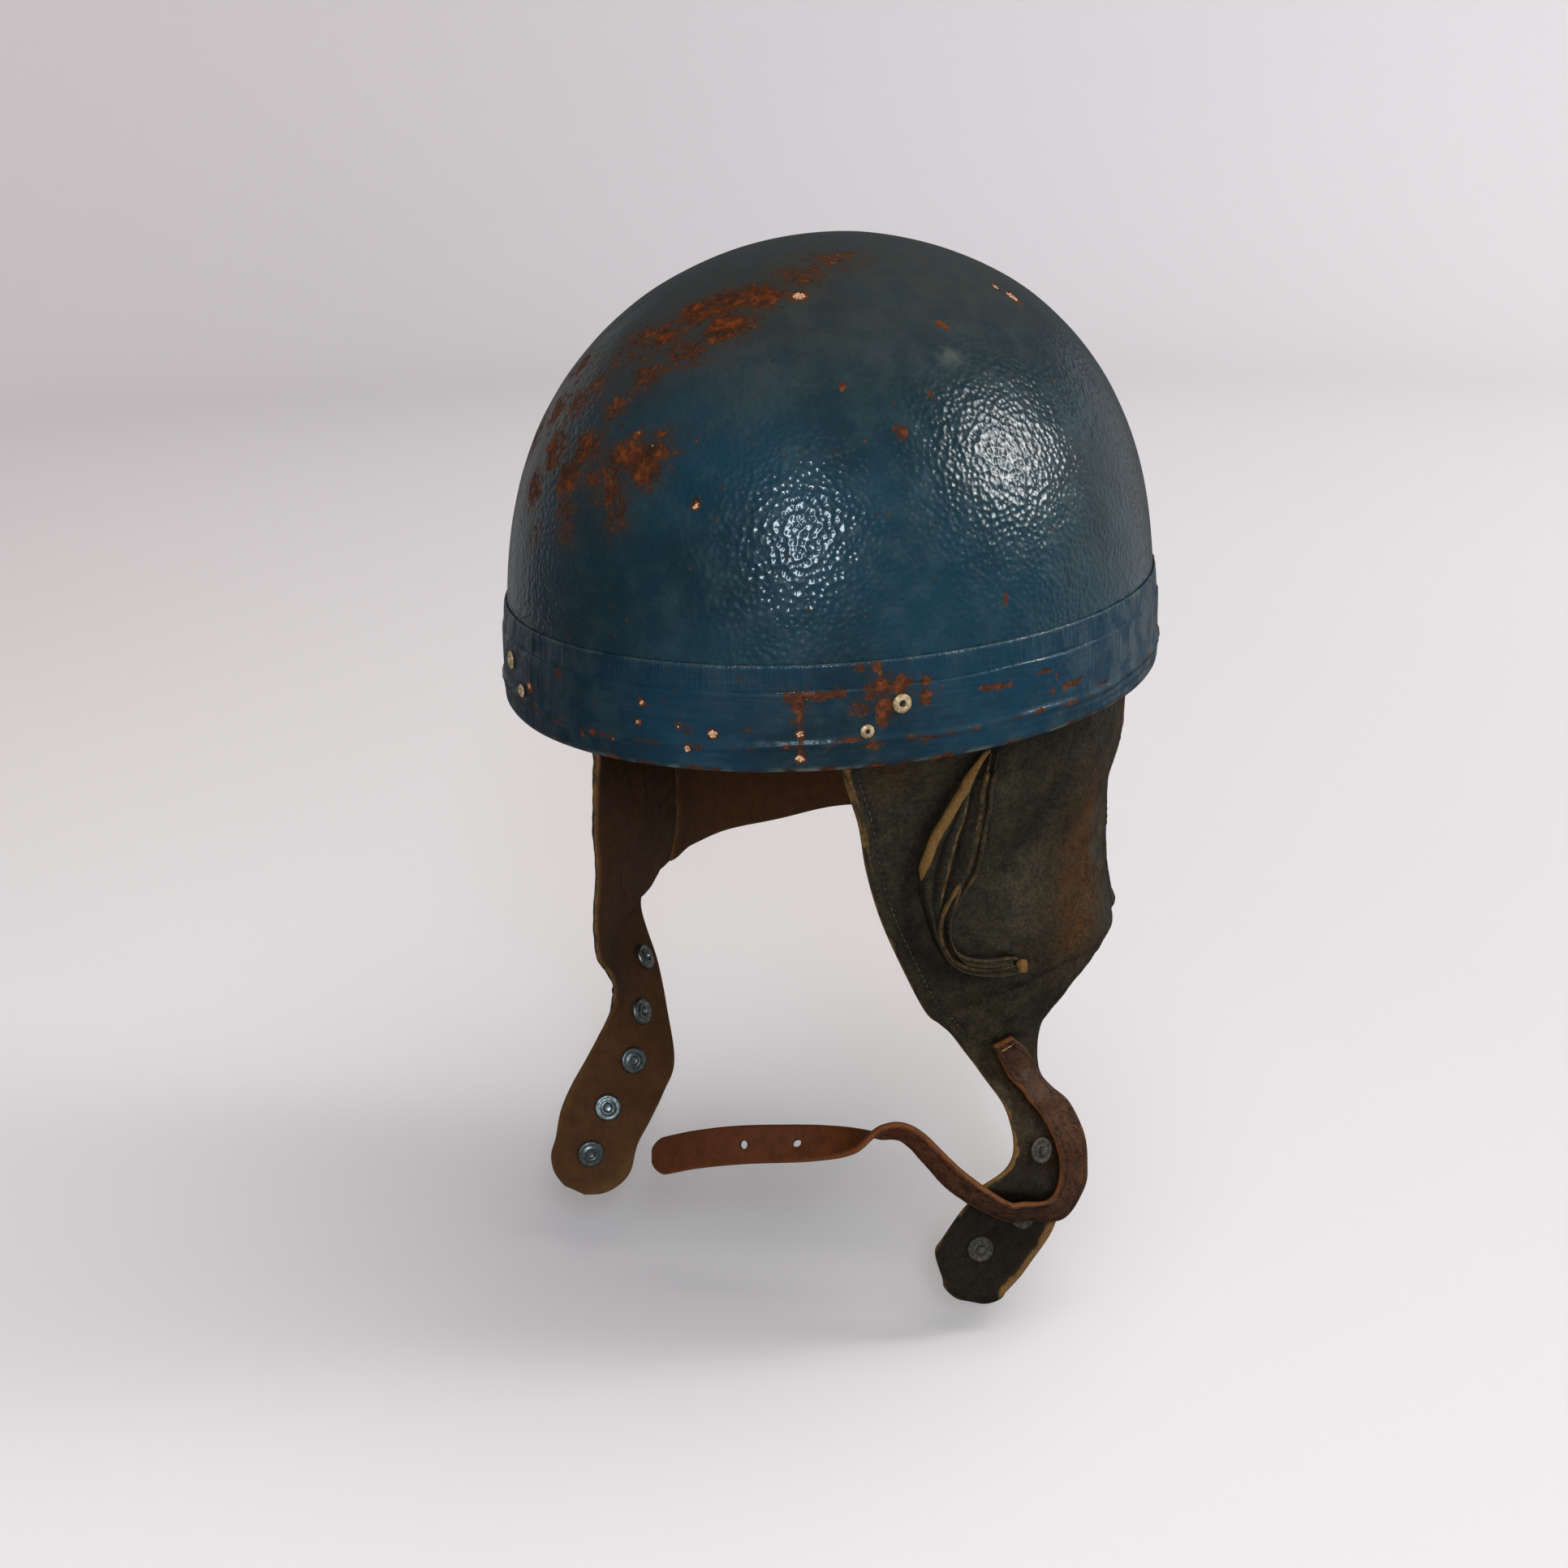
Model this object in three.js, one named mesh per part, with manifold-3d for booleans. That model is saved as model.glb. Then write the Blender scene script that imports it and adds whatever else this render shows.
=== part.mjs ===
// Pudding basin motorcycle helmet: a hard painted dome with a taped rim, leather ear flaps that run
// down into studded chin tabs, a leather neck curtain and a loose chin strap.
// Millimetres, +Z up. The face opening looks along -Y, the wearer's left is +X, and z = 0 is the
// plane of the rim.
import * as THREE from 'three';
import { mergeVertices } from 'three/addons/utils/BufferGeometryUtils.js';
import Module from 'manifold-3d';

const wasm = await Module();
wasm.setup();

// Driving dimensions
const gap = 0.3;
const dome = { halfLength: 138.6, halfWidth: 113.6, height: 155, wall: 4, crownPower: 2.9, sidePower: 1.93 };
const ringSteps = 40;
const domeSteps = 10;
const leather = 2;
const band = { top: 34, step: 25, bead: 7.7, underRim: 1.2, lip: 8, tape: 0.8 };
const snap = { post: 1.4, cap: 4.6, capHeight: 0.9, sides: 8 };
const strap = { width: 14, thickness: 2.6, holeRadius: 1.6 };
const flapGrid = { down: 30, across: 11 };
const curtainGrid = { down: 7, across: 16 };
const drillReach = 15;
const turnedSides = 10;

// Colours and finishes
const finish = {
  paint: { color: 0x16405a, roughness: 0.3, metalness: 0 },
  leather: { color: 0x3a3026, roughness: 0.6, metalness: 0 },
  strap: { color: 0x7a4526, roughness: 0.6, metalness: 0 },
  snapMetal: { color: 0x8f9496, roughness: 0.4, metalness: 1 },
  rivetMetal: { color: 0xa08a6a, roughness: 0.5, metalness: 1 },
};

const helmet = new THREE.Group();

// Adds a named piece. A turned piece, made along +Y, is stood at a point along a direction.
function place(name, geometry, look, seat) {
  const mesh = new THREE.Mesh(geometry, new THREE.MeshStandardMaterial(look));
  mesh.name = name;
  if (seat) {
    mesh.position.copy(seat.point);
    mesh.quaternion.setFromUnitVectors(new THREE.Vector3(0, 1, 0), seat.normal);
  }
  helmet.add(mesh);
}

const mirroredSeat = ({ point, normal }) => ({
  point: new THREE.Vector3(-point.x, point.y, point.z),
  normal: new THREE.Vector3(-normal.x, normal.y, normal.z),
});

// Solids for joining and cutting
function toSolid(geometry) {
  const bare = geometry.clone();
  bare.deleteAttribute('normal');
  bare.deleteAttribute('uv');
  const merged = mergeVertices(bare, 1e-4);
  return new wasm.Manifold(new wasm.Mesh({
    numProp: 3,
    vertProperties: new Float32Array(merged.attributes.position.array),
    triVerts: new Uint32Array(merged.index.array),
  }));
}

function toGeometry(solid) {
  const mesh = solid.getMesh();
  const geometry = new THREE.BufferGeometry();
  geometry.setAttribute('position', new THREE.BufferAttribute(new Float32Array(mesh.vertProperties), 3));
  geometry.setIndex([...mesh.triVerts]);
  geometry.computeVertexNormals();
  return geometry;
}

function indexed(points, triangles) {
  const geometry = new THREE.BufferGeometry();
  geometry.setAttribute('position', new THREE.Float32BufferAttribute(points.flatMap((p) => [p.x, p.y, p.z]), 3));
  geometry.setIndex(triangles);
  geometry.computeVertexNormals();
  return geometry;
}

// The mirror image across the plane x = 0, with its faces turned to point out again.
function mirrored(geometry) {
  const copy = geometry.clone().applyMatrix4(new THREE.Matrix4().makeScale(-1, 1, 1));
  const index = [...copy.index.array];
  for (let i = 0; i < index.length; i += 3) {
    [index[i + 1], index[i + 2]] = [index[i + 2], index[i + 1]];
  }
  copy.setIndex(index);
  copy.computeVertexNormals();
  return copy;
}

// Smooth curve through the rows of a table of numbers (Catmull-Rom). `down` counts rows: 2.5 is half
// way between the third row and the fourth.
function through(rows, down) {
  const last = rows.length - 1;
  const i = Math.min(Math.max(Math.floor(down), 0), last - 1);
  const f = down - i;
  const row = (k) => rows[Math.min(Math.max(k, 0), last)];
  return row(i).map((_, c) => {
    const [a, b, d, e] = [row(i - 1)[c], row(i)[c], row(i + 1)[c], row(i + 2)[c]];
    return b + 0.5 * f * (d - a + f * (2 * a - 5 * b + 4 * d - e + f * (3 * (b - d) + e - a)));
  });
}

// The dome's radius as a share of its rim radius, at height z.
const domeShare = (z) => {
  const level = Math.min(Math.max(z / dome.height, 0), 1);
  return (1 - level ** dome.crownPower) ** (1 / dome.sidePower);
};

// A closed half of the dome, grown outward by `grow` and carried down to z = -skirt.
function domeSolid(grow, skirt) {
  const profile = [new THREE.Vector2(0, -skirt), new THREE.Vector2(1, -skirt)];
  for (let i = 0; i < domeSteps; i++) {
    const angle = (i / domeSteps) * Math.PI / 2;
    profile.push(new THREE.Vector2(Math.cos(angle) ** (2 / dome.sidePower), Math.sin(angle) ** (2 / dome.crownPower)));
  }
  profile.push(new THREE.Vector2(0, 1));
  for (const point of profile) {
    point.y = point.y > 0 ? point.y * (dome.height + grow) : point.y;
  }
  const turned = new THREE.LatheGeometry(profile, ringSteps);
  turned.rotateX(Math.PI / 2);
  turned.scale(dome.halfWidth + grow, dome.halfLength + grow, 1);
  return toSolid(turned);
}

// A ring that follows the dome's plan. The profile holds [distance out from the dome, height].
function planRing(profile) {
  const points = [];
  const triangles = [];
  const count = profile.length;
  for (let i = 0; i < ringSteps; i++) {
    const angle = (i / ringSteps) * 2 * Math.PI;
    for (const [out, z] of profile) {
      const x = (dome.halfWidth * domeShare(z) + out) * Math.cos(angle);
      const y = (dome.halfLength * domeShare(z) + out) * Math.sin(angle);
      points.push(new THREE.Vector3(x, y, z));
    }
  }
  for (let i = 0; i < ringSteps; i++) {
    const here = i * count;
    const next = ((i + 1) % ringSteps) * count;
    for (let k = 0; k < count; k++) {
      const up = (k + 1) % count;
      triangles.push(here + k, next + k, next + up, here + k, next + up, here + up);
    }
  }
  return indexed(points, triangles);
}

// Place and outward direction on the dome's wall, at a turn from the front (degrees, left positive).
function onDome(turn, z, out) {
  const angle = THREE.MathUtils.degToRad(turn);
  const [a, b] = [dome.halfWidth * domeShare(z), dome.halfLength * domeShare(z)];
  const normal = new THREE.Vector3(Math.sin(angle) / a, -Math.cos(angle) / b, 0).normalize();
  const point = new THREE.Vector3(a * Math.sin(angle), -b * Math.cos(angle), z);
  return { point: point.addScaledVector(normal, out), normal };
}

// A straight drill bit through a seat, along its normal.
function drill(radius, seat, sides) {
  const bit = new THREE.CylinderGeometry(radius, radius, 2 * drillReach, sides);
  const turn = new THREE.Quaternion().setFromUnitVectors(new THREE.Vector3(0, 1, 0), seat.normal);
  return toSolid(bit.applyQuaternion(turn).translate(seat.point.x, seat.point.y, seat.point.z));
}

// Sheets: a grid of points thickened both ways along its normals
function gridNormals(grid) {
  const rows = grid.length;
  const columns = grid[0].length;
  return grid.map((row, i) => row.map((_, j) => {
    const down = grid[Math.min(i + 1, rows - 1)][j].clone().sub(grid[Math.max(i - 1, 0)][j]);
    const across = grid[i][Math.min(j + 1, columns - 1)].clone().sub(grid[i][Math.max(j - 1, 0)]);
    return down.cross(across).normalize();
  }));
}

// Closed solid between two grids of the same size, the outer one on the side of the normals.
function betweenGrids(outer, inner) {
  const rows = outer.length;
  const columns = outer[0].length;
  const points = [...outer.flat(), ...inner.flat()];
  const skip = rows * columns;
  const at = (i, j) => i * columns + j;
  const triangles = [];
  const quad = (a, b, c, d) => triangles.push(a, b, c, a, c, d);
  for (let i = 0; i < rows - 1; i++) {
    for (let j = 0; j < columns - 1; j++) {
      quad(at(i, j), at(i + 1, j), at(i + 1, j + 1), at(i, j + 1));
      quad(skip + at(i, j), skip + at(i, j + 1), skip + at(i + 1, j + 1), skip + at(i + 1, j));
    }
  }
  for (let i = 0; i < rows - 1; i++) {
    const end = columns - 1;
    quad(at(i, 0), skip + at(i, 0), skip + at(i + 1, 0), at(i + 1, 0));
    quad(at(i + 1, end), skip + at(i + 1, end), skip + at(i, end), at(i, end));
  }
  for (let j = 0; j < columns - 1; j++) {
    const end = rows - 1;
    quad(at(0, j + 1), skip + at(0, j + 1), skip + at(0, j), at(0, j));
    quad(at(end, j), skip + at(end, j), skip + at(end, j + 1), at(end, j + 1));
  }
  return indexed(points, triangles);
}

function shifted(grid, normals, distance) {
  return grid.map((row, i) => row.map((p, j) => p.clone().addScaledVector(normals[i][j], distance)));
}

function sheet(grid, thickness) {
  const normals = gridNormals(grid);
  return betweenGrids(shifted(grid, normals, thickness / 2), shifted(grid, normals, -thickness / 2));
}

// Leather flap: rows from its sewn top edge down to the end of its chin tab. Each row runs from the
// front edge to the rear edge and bows outward by `belly` in the middle. The right flap lies flatter.
const flapTop = [
  { front: [54.5, -112.0, 26], rear: [101.5, 38, 26], belly: 22, rightBelly: 22 },
  { front: [54.5, -112.0, 6], rear: [101.5, 38, 6], belly: 22, rightBelly: 21.5 },
  { front: [47.2, -98.4, -11], rear: [99.2, 38, -11], belly: 24, rightBelly: 12 },
  { front: [50.5, -94.3, -29], rear: [97.4, 38, -29], belly: 24, rightBelly: 0 },
  { front: [52.5, -92.6, -46], rear: [92.6, 38, -46], belly: 24, rightBelly: -4 },
  { front: [55.5, -87.6, -65], rear: [92.4, 38, -65], belly: 25, rightBelly: -5 },
  { front: [61.0, -81.2, -85], rear: [91.8, 38, -84], belly: 27, rightBelly: -3 },
  { front: [65.5, -72.6, -103], rear: [95.0, 38, -103], belly: 24, rightBelly: 1 },
  { front: [67.5, -65.0, -110], rear: [96.0, 24, -106.8], belly: 19, rightBelly: 5 },
  { front: [69.0, -58.5, -116], rear: [92.6, 6, -113], belly: 11, rightBelly: 4 },
];
const leftTab = [
  { front: [71.5, -52.0, -125], rear: [84.4, -7.0, -128], belly: 6.5 },
  { front: [77.0, -46.0, -137], rear: [85.5, -14.0, -145], belly: 3 },
  { front: [84.7, -44.8, -148], rear: [95.5, -16.5, -156], belly: 2 },
  { front: [88.9, -46.4, -161], rear: [100.5, -17.0, -166], belly: 2 },
  { front: [87.0, -49.0, -170], rear: [104.0, -20.5, -178], belly: 3 },
  { front: [79.0, -57.5, -176], rear: [104.5, -30.0, -184.5], belly: 3 },
  { front: [76.0, -51.0, -182.0], rear: [101.5, -27.0, -189.5], belly: 0 },
  { front: [71.0, -54.0, -189], rear: [99.5, -34.5, -200], belly: 1 },
  { front: [66.0, -58.0, -198], rear: [93.5, -39.5, -211], belly: 2 },
  { front: [64.0, -61.0, -203], rear: [90.0, -42.5, -217], belly: 2 },
  { front: [67.0, -61.1, -213.2], rear: [86.5, -46.6, -221.4], belly: 1.5 },
];
const rightTab = [
  { front: [71.5, -52.0, -125], rear: [80.0, -4.0, -133], belly: 3 },
  { front: [77.0, -46.0, -137], rear: [72.0, -12.0, -148], belly: 2 },
  { front: [82.0, -48.3, -147.5], rear: [61.5, -26.0, -164], belly: 1 },
  { front: [86.0, -52.2, -156.6], rear: [61.2, -35.7, -173], belly: 1 },
  { front: [89.0, -59.1, -165.2], rear: [62.0, -46.0, -181], belly: 1 },
  { front: [91.0, -64.6, -174.0], rear: [65.5, -50.5, -190], belly: 1 },
  { front: [91.5, -68.5, -184.0], rear: [68.0, -52.5, -201], belly: 1 },
];

// Rounds a tab off: rows that narrow along a half ellipse, square to the last row of the table and as
// deep as `depth` times half its width.
function roundedEnd(rows, depth = 1) {
  const last = rows[rows.length - 1];
  const before = rows[rows.length - 2];
  const middle = (row) => new THREE.Vector3(...row.front).add(new THREE.Vector3(...row.rear)).multiplyScalar(0.5);
  const half = new THREE.Vector3(...last.rear).sub(new THREE.Vector3(...last.front)).multiplyScalar(0.5);
  const run = middle(last).sub(middle(before));
  const onward = run.projectOnPlane(half.clone().normalize()).normalize().multiplyScalar(half.length() * depth);
  return [25, 50, 75].map((degrees) => {
    const angle = THREE.MathUtils.degToRad(degrees);
    const centre = middle(last).addScaledVector(onward, Math.sin(angle));
    const reach = half.clone().multiplyScalar(Math.cos(angle));
    return {
      front: centre.clone().sub(reach).toArray(),
      rear: centre.clone().add(reach).toArray(),
      belly: last.belly * Math.cos(angle),
    };
  });
}

// Folds in the leather: a ridge (or, with a negative height, a valley) along a line between two points.
const flapFolds = [
  { from: [103, -38, -24], to: [93, -62, -58], width: 8, height: -3.5 },
  { from: [105, -10, -10], to: [103, -35, -42], width: 9, height: 2.5 },
  { from: [84, -68, -22], to: [80, -72, -52], width: 9, height: -3 },
  { from: [95, 20, -72], to: [88, -5, -98], width: 9, height: -3 },
  { from: [92, -45, -96], to: [84, -42, -120], width: 5, height: 2 },
];

const flatRows = (rows) => rows.map((row) => [...row.front, ...row.rear, row.belly]);

// A flap's surface, half way through the leather: t counts rows down it, s runs from 0 at the front
// edge to 1 at the rear.
function flapPoint(rows, t, s) {
  const [fx, fy, fz, rx, ry, rz, belly] = through(rows, t);
  const front = new THREE.Vector3(fx, fy, fz);
  const across = new THREE.Vector3(rx, ry, rz).sub(front);
  const ahead = through(rows, Math.min(t + 0.1, rows.length - 1));
  const behind = through(rows, Math.max(t - 0.1, 0));
  const down = new THREE.Vector3(...[0, 1, 2].map((k) => ahead[k] + ahead[k + 3] - behind[k] - behind[k + 3]));
  const outward = down.cross(across).normalize();
  const point = front.addScaledVector(across, s).addScaledVector(outward, belly * 4 * s * (1 - s));
  for (const fold of flapFolds) {
    const line = new THREE.Line3(new THREE.Vector3(...fold.from), new THREE.Vector3(...fold.to));
    const away = line.closestPointToPoint(point, true, new THREE.Vector3()).distanceTo(point);
    point.addScaledVector(outward, fold.height * Math.exp(-((away / fold.width) ** 2)));
  }
  return point;
}

function flapNormal(rows, t, s) {
  const [stepT, stepS] = [0.05, 0.01];
  const below = flapPoint(rows, Math.min(t + stepT, rows.length - 1), s);
  const down = below.sub(flapPoint(rows, Math.max(t - stepT, 0), s));
  const across = flapPoint(rows, t, Math.min(s + stepS, 1)).sub(flapPoint(rows, t, Math.max(s - stepS, 0)));
  return down.cross(across).normalize();
}

// Seat on a flap, `lift` out from the middle of the leather. Its normal points out of the side given.
function onFlap(rows, t, s, lift = 0, side = 1) {
  const normal = flapNormal(rows, t, s).multiplyScalar(side);
  return { point: flapPoint(rows, t, s).addScaledVector(normal, lift), normal };
}

function flapSheet(rows) {
  const grid = [];
  for (let i = 0; i <= flapGrid.down; i++) {
    grid.push([]);
    for (let j = 0; j <= flapGrid.across; j++) {
      grid[i].push(flapPoint(rows, (i / flapGrid.down) * (rows.length - 1), j / flapGrid.across));
    }
  }
  return sheet(grid, leather);
}

const leftRows = flatRows([...flapTop, ...leftTab, ...roundedEnd(leftTab, 0.5)]);
const rightTop = flapTop.map((row) => ({ ...row, belly: row.rightBelly }));
const rightRows = flatRows([...rightTop, ...rightTab, ...roundedEnd(rightTab)]);

// Rivets: tubular, through the band, the dome and the leather
const rivets = [
  { level: 'lower', turn: 33.8, z: 11.5, radius: 2.3, hole: 0.8 },
  { level: 'upper', turn: 39.2, z: 19.5, radius: 3.2, hole: 1.2 },
];
const rivetWall = 0.7;
const rivetReach = { outside: 1.6 + gap, inside: -(dome.wall + 6.4) };

// A rivet's profile as [radius, distance out from the dome], closed on itself.
function rivetProfile({ radius, hole }) {
  const shank = hole + rivetWall;
  const { outside, inside } = rivetReach;
  return [
    [hole, inside - 0.6], [radius * 0.9, inside - 0.6], [radius * 0.9, inside], [shank, inside],
    [shank, outside], [radius, outside], [radius * 0.85, outside + 0.7], [hole, outside + 0.5],
    [hole, inside - 0.6],
  ].map(([r, y]) => new THREE.Vector2(r, y));
}

const rivetHoles = (sides) => rivets.flatMap((rivet) => sides.map((side) => (
  drill(rivet.hole + rivetWall + gap, onDome(rivet.turn * side, rivet.z, 0), turnedSides)
)));

const drilled = (solid, holes) => toGeometry(holes.reduce((left, hole) => left.subtract(hole), solid));

// Dome
place('shell', drilled(domeSolid(0, 0).subtract(domeSolid(-dome.wall, 5)), rivetHoles([1, -1])), finish.paint);

// Rim band: painted cloth tape in two laps, with a bead above the rim, turned in under the edge
const outerLap = 1.6;
const lipOut = -(dome.wall + 2 * gap);
const bandProfile = [
  [gap, band.top], [gap, -gap], [lipOut, -gap], [lipOut, band.lip], [lipOut - band.tape, band.lip],
  [lipOut - band.tape, 0], [lipOut * 0.75, -band.underRim], [0, -band.underRim], [outerLap - 0.3, 0],
  [outerLap, band.bead - 2], [outerLap + 0.7, band.bead], [outerLap, band.bead + 2],
  [outerLap, band.step - 1], [outerLap - 0.7, band.step], [outerLap - 0.7, band.top],
];
place('edge_band', drilled(toSolid(planRing(bandProfile)), rivetHoles([1, -1])), finish.paint);

for (const rivet of rivets) {
  const seat = onDome(rivet.turn, rivet.z, 0);
  const turned = toGeometry(toSolid(new THREE.LatheGeometry(rivetProfile(rivet), turnedSides)));
  place(`rivet_${rivet.level}_left`, turned, finish.rivetMetal, seat);
  place(`rivet_${rivet.level}_right`, turned, finish.rivetMetal, mirroredSeat(seat));
}

// Press studs: studs on the outside of the left tab, sockets on the inside of the right one. Places are
// counted in rows down the flap and from 0 to 1 across it.
const studPlaces = [[13.35, 0.33], [16.7, 0.6], [17.95, 0.39]];
const socketPlaces = [[9.8, 0.8], [11.1, 0.54], [12.4, 0.5], [14.2, 0.49], [16.0, 0.46]];
const studFace = [[1.9, 2.8], [2.3, 0.9], [4.4, 1.1], [4.9, 0]];
const socketFace = [[2.2, 0.5], [2.9, 1.6], [4.7, 1.5], [5.3, 0]];

// A stud or socket through the leather: its face above, a post, and a plain cap on the other side.
function snapGeometry(face) {
  const seat = leather / 2 + 4 * gap;
  const { post, cap, capHeight } = snap;
  const profile = [
    [0, face[0][1]], ...face, [post, 0], [post, -2 * seat], [cap, -2 * seat],
    [cap * 0.85, -2 * seat - capHeight], [0, -2 * seat - capHeight],
  ];
  const turned = new THREE.LatheGeometry(profile.map(([r, y]) => new THREE.Vector2(r, y + seat)).reverse(), snap.sides);
  return toGeometry(toSolid(turned));
}

const studSeats = studPlaces.map(([t, s]) => onFlap(leftRows, t, s));
const socketSeats = socketPlaces.map(([t, s]) => onFlap(rightRows, t, s, 0, -1));
const postHoles = (seats) => seats.map((seat) => drill(snap.post + gap, seat, 8));

studSeats.forEach((seat, i) => place(`snap_stud_${i + 1}`, snapGeometry(studFace), finish.snapMetal, seat));
socketSeats.forEach((seat, i) => {
  place(`snap_socket_${i + 1}`, snapGeometry(socketFace), finish.snapMetal, mirroredSeat(seat));
});

// Ear flaps
const leftHoles = [...rivetHoles([1]), ...postHoles(studSeats)];
const rightHoles = [...rivetHoles([1]), ...postHoles(socketSeats)];
place('ear_flap_left', drilled(toSolid(flapSheet(leftRows)), leftHoles), finish.leather);
place('ear_flap_right', mirrored(drilled(toSolid(flapSheet(rightRows)), rightHoles)), finish.leather);

// Ear pockets: a crescent of leather on each flap between two piped edges, open to the front. A row
// gives both edges as [rows down the flap, place across it].
const pocketRows = [
  { front: [2.33, 0.248], rear: [2.36, 0.322] },
  { front: [2.72, 0.205], rear: [2.78, 0.309] },
  { front: [3.3, 0.141], rear: [3.5, 0.284] },
  { front: [3.85, 0.115], rear: [4.1, 0.262] },
  { front: [4.4, 0.1], rear: [4.6, 0.213] },
  { front: [5, 0.095], rear: [4.95, 0.16] },
  { front: [5.45, 0.092], rear: [5.28, 0.134] },
  { front: [5.88, 0.1], rear: [5.6, 0.126] },
  { front: [6.16, 0.14], rear: [5.87, 0.138] },
  { front: [6.32, 0.205], rear: [6.03, 0.185] },
  { front: [6.36, 0.272], rear: [6.1, 0.262] },
];
const pocketGrid = { along: 22, across: 6 };
const pocketLift = [1.2, 3.6, 1.6, 1.0, 1.6, 3.4, 1.2];
const pocketTip = 0.35;

// `height` scales how far the pocket stands off the flap.
function pocketGeometry(flapRows, height) {
  const rows = pocketRows.map((row) => [...row.front, ...row.rear]);
  const seat = leather / 2 + 4 * gap;
  const grids = [pocketLift, pocketLift.map(() => 0)].map((lifts) => {
    const grid = [];
    for (let i = 0; i <= pocketGrid.along; i++) {
      const [t0, s0, t1, s1] = through(rows, (i / pocketGrid.along) * (rows.length - 1));
      const rise = height * Math.min(1, pocketTip + i / 6);
      grid.push(lifts.map((lift, j) => {
        const q = j / pocketGrid.across;
        return onFlap(flapRows, t0 + (t1 - t0) * q, s0 + (s1 - s0) * q, seat + lift * rise).point;
      }));
    }
    return grid;
  });
  return betweenGrids(grids[0], grids[1]);
}

place('ear_pocket_left', pocketGeometry(leftRows, 1), finish.leather);
place('ear_pocket_right', mirrored(pocketGeometry(rightRows, 0.6)), finish.leather);

// Neck curtain: each row is an arc of an ellipse about (0, centre), from seam to seam round the back
const seamY = 39.5;
const curtainRows = [
  { seam: [101.5, 26], back: [131.0, 26], centre: 0 },
  { seam: [101.5, 6], back: [131.0, 6], centre: 0 },
  { seam: [99.2, -11], back: [122, -11], centre: 5 },
  { seam: [92.6, -46], back: [116, -43], centre: 5 },
  { seam: [91.8, -84], back: [118, -78], centre: 5 },
  { seam: [95.0, -103], back: [121, -96], centre: 5 },
];

function curtainSheet() {
  const rows = curtainRows.map((row) => [...row.seam, ...row.back, row.centre]);
  const grid = [];
  for (let i = 0; i <= curtainGrid.down; i++) {
    const [seamX, seamZ, backY, backZ, centre] = through(rows, (i / curtainGrid.down) * (rows.length - 1));
    const depth = backY - centre;
    const start = Math.asin((seamY - centre) / depth);
    grid.push([]);
    for (let j = 0; j <= curtainGrid.across; j++) {
      const turn = start + (j / curtainGrid.across) * (Math.PI - 2 * start);
      const x = (seamX * Math.cos(turn)) / Math.cos(start);
      const back = (Math.sin(turn) - Math.sin(start)) / (1 - Math.sin(start));
      grid[i].push(new THREE.Vector3(x, centre + depth * Math.sin(turn), seamZ + (backZ - seamZ) * back));
    }
  }
  return sheet(grid, leather);
}

place('neck_curtain', curtainSheet(), finish.leather);

// Chin strap: sewn to the left flap at the waist, down round the end of its tab and forward to a free
// end. Its sewn stretch, cut narrower at the end, is given as [rows down the flap, place across it, extra
// height, share of the width]. Past that, a row gives its middle and the direction across it, from its
// front edge to its rear edge.
const strapSewn = [[9.3, 0.255, 0.9, 0.55], [10.64, 0.397, 1.3, 0.9], [11.48, 0.42, 1.7, 1], [11.87, 0.438, 2.0, 1]];
const strapFree = [
  { at: [98.3, -29.2, -152.9], edge: [0.43, 0.90, 0.08] },
  { at: [103.4, -28.2, -163.6], edge: [0.54, 0.83, -0.13] },
  { at: [105.5, -28.8, -173.6], edge: [0.43, 0.85, -0.31] },
  { at: [105.9, -32.4, -181.5], edge: [0.41, 0.85, -0.34] },
  { at: [103.0, -40.8, -187.1], edge: [0.22, 0.64, -0.73] },
  { at: [95.3, -49.7, -185.3], edge: [-0.09, 0.63, -0.77] },
  { at: [89.1, -56.4, -183.0], edge: [-0.25, 0.54, -0.80] },
  { at: [72.9, -62.4, -171.5], edge: [-0.46, 0.37, -0.80] },
  { at: [56.8, -65.6, -155.6], edge: [-0.48, 0.53, -0.70] },
  { at: [48.0, -71.9, -152.9], edge: [-0.39, 0.66, -0.65] },
  { at: [38.0, -74.6, -157.0], edge: [-0.44, 0.88, 0.18] },
  { at: [24.0, -79.9, -158.3], edge: [-0.31, 0.68, 0.67] },
  { at: [0.0, -86.3, -160.8], edge: [-0.18, 0.41, 0.90] },
  { at: [-18.0, -88.5, -165.2], edge: [-0.18, 0.41, 0.89] },
  { at: [-31.0, -88.5, -170.2], edge: [-0.24, 0.51, 0.83] },
];
// Punched holes, counted in rows along the strap
const strapHoles = [15.23, 16];

// The sewn rows: on the outside of the leather, square to the strap's run.
function sewnRows() {
  const lift = (leather + strap.thickness) / 2 + 2 * gap;
  const seats = strapSewn.map(([t, s, rise, share]) => ({ share, ...onFlap(leftRows, t, s, lift + rise) }));
  return seats.map(({ point, normal, share }, i) => {
    const [before, after] = [seats[Math.max(i - 1, 0)], seats[Math.min(i + 1, seats.length - 1)]];
    const run = after.point.clone().sub(before.point);
    return { at: point.toArray(), edge: normal.clone().cross(run).normalize().toArray(), share };
  });
}

const strapSteps = 42;

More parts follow.
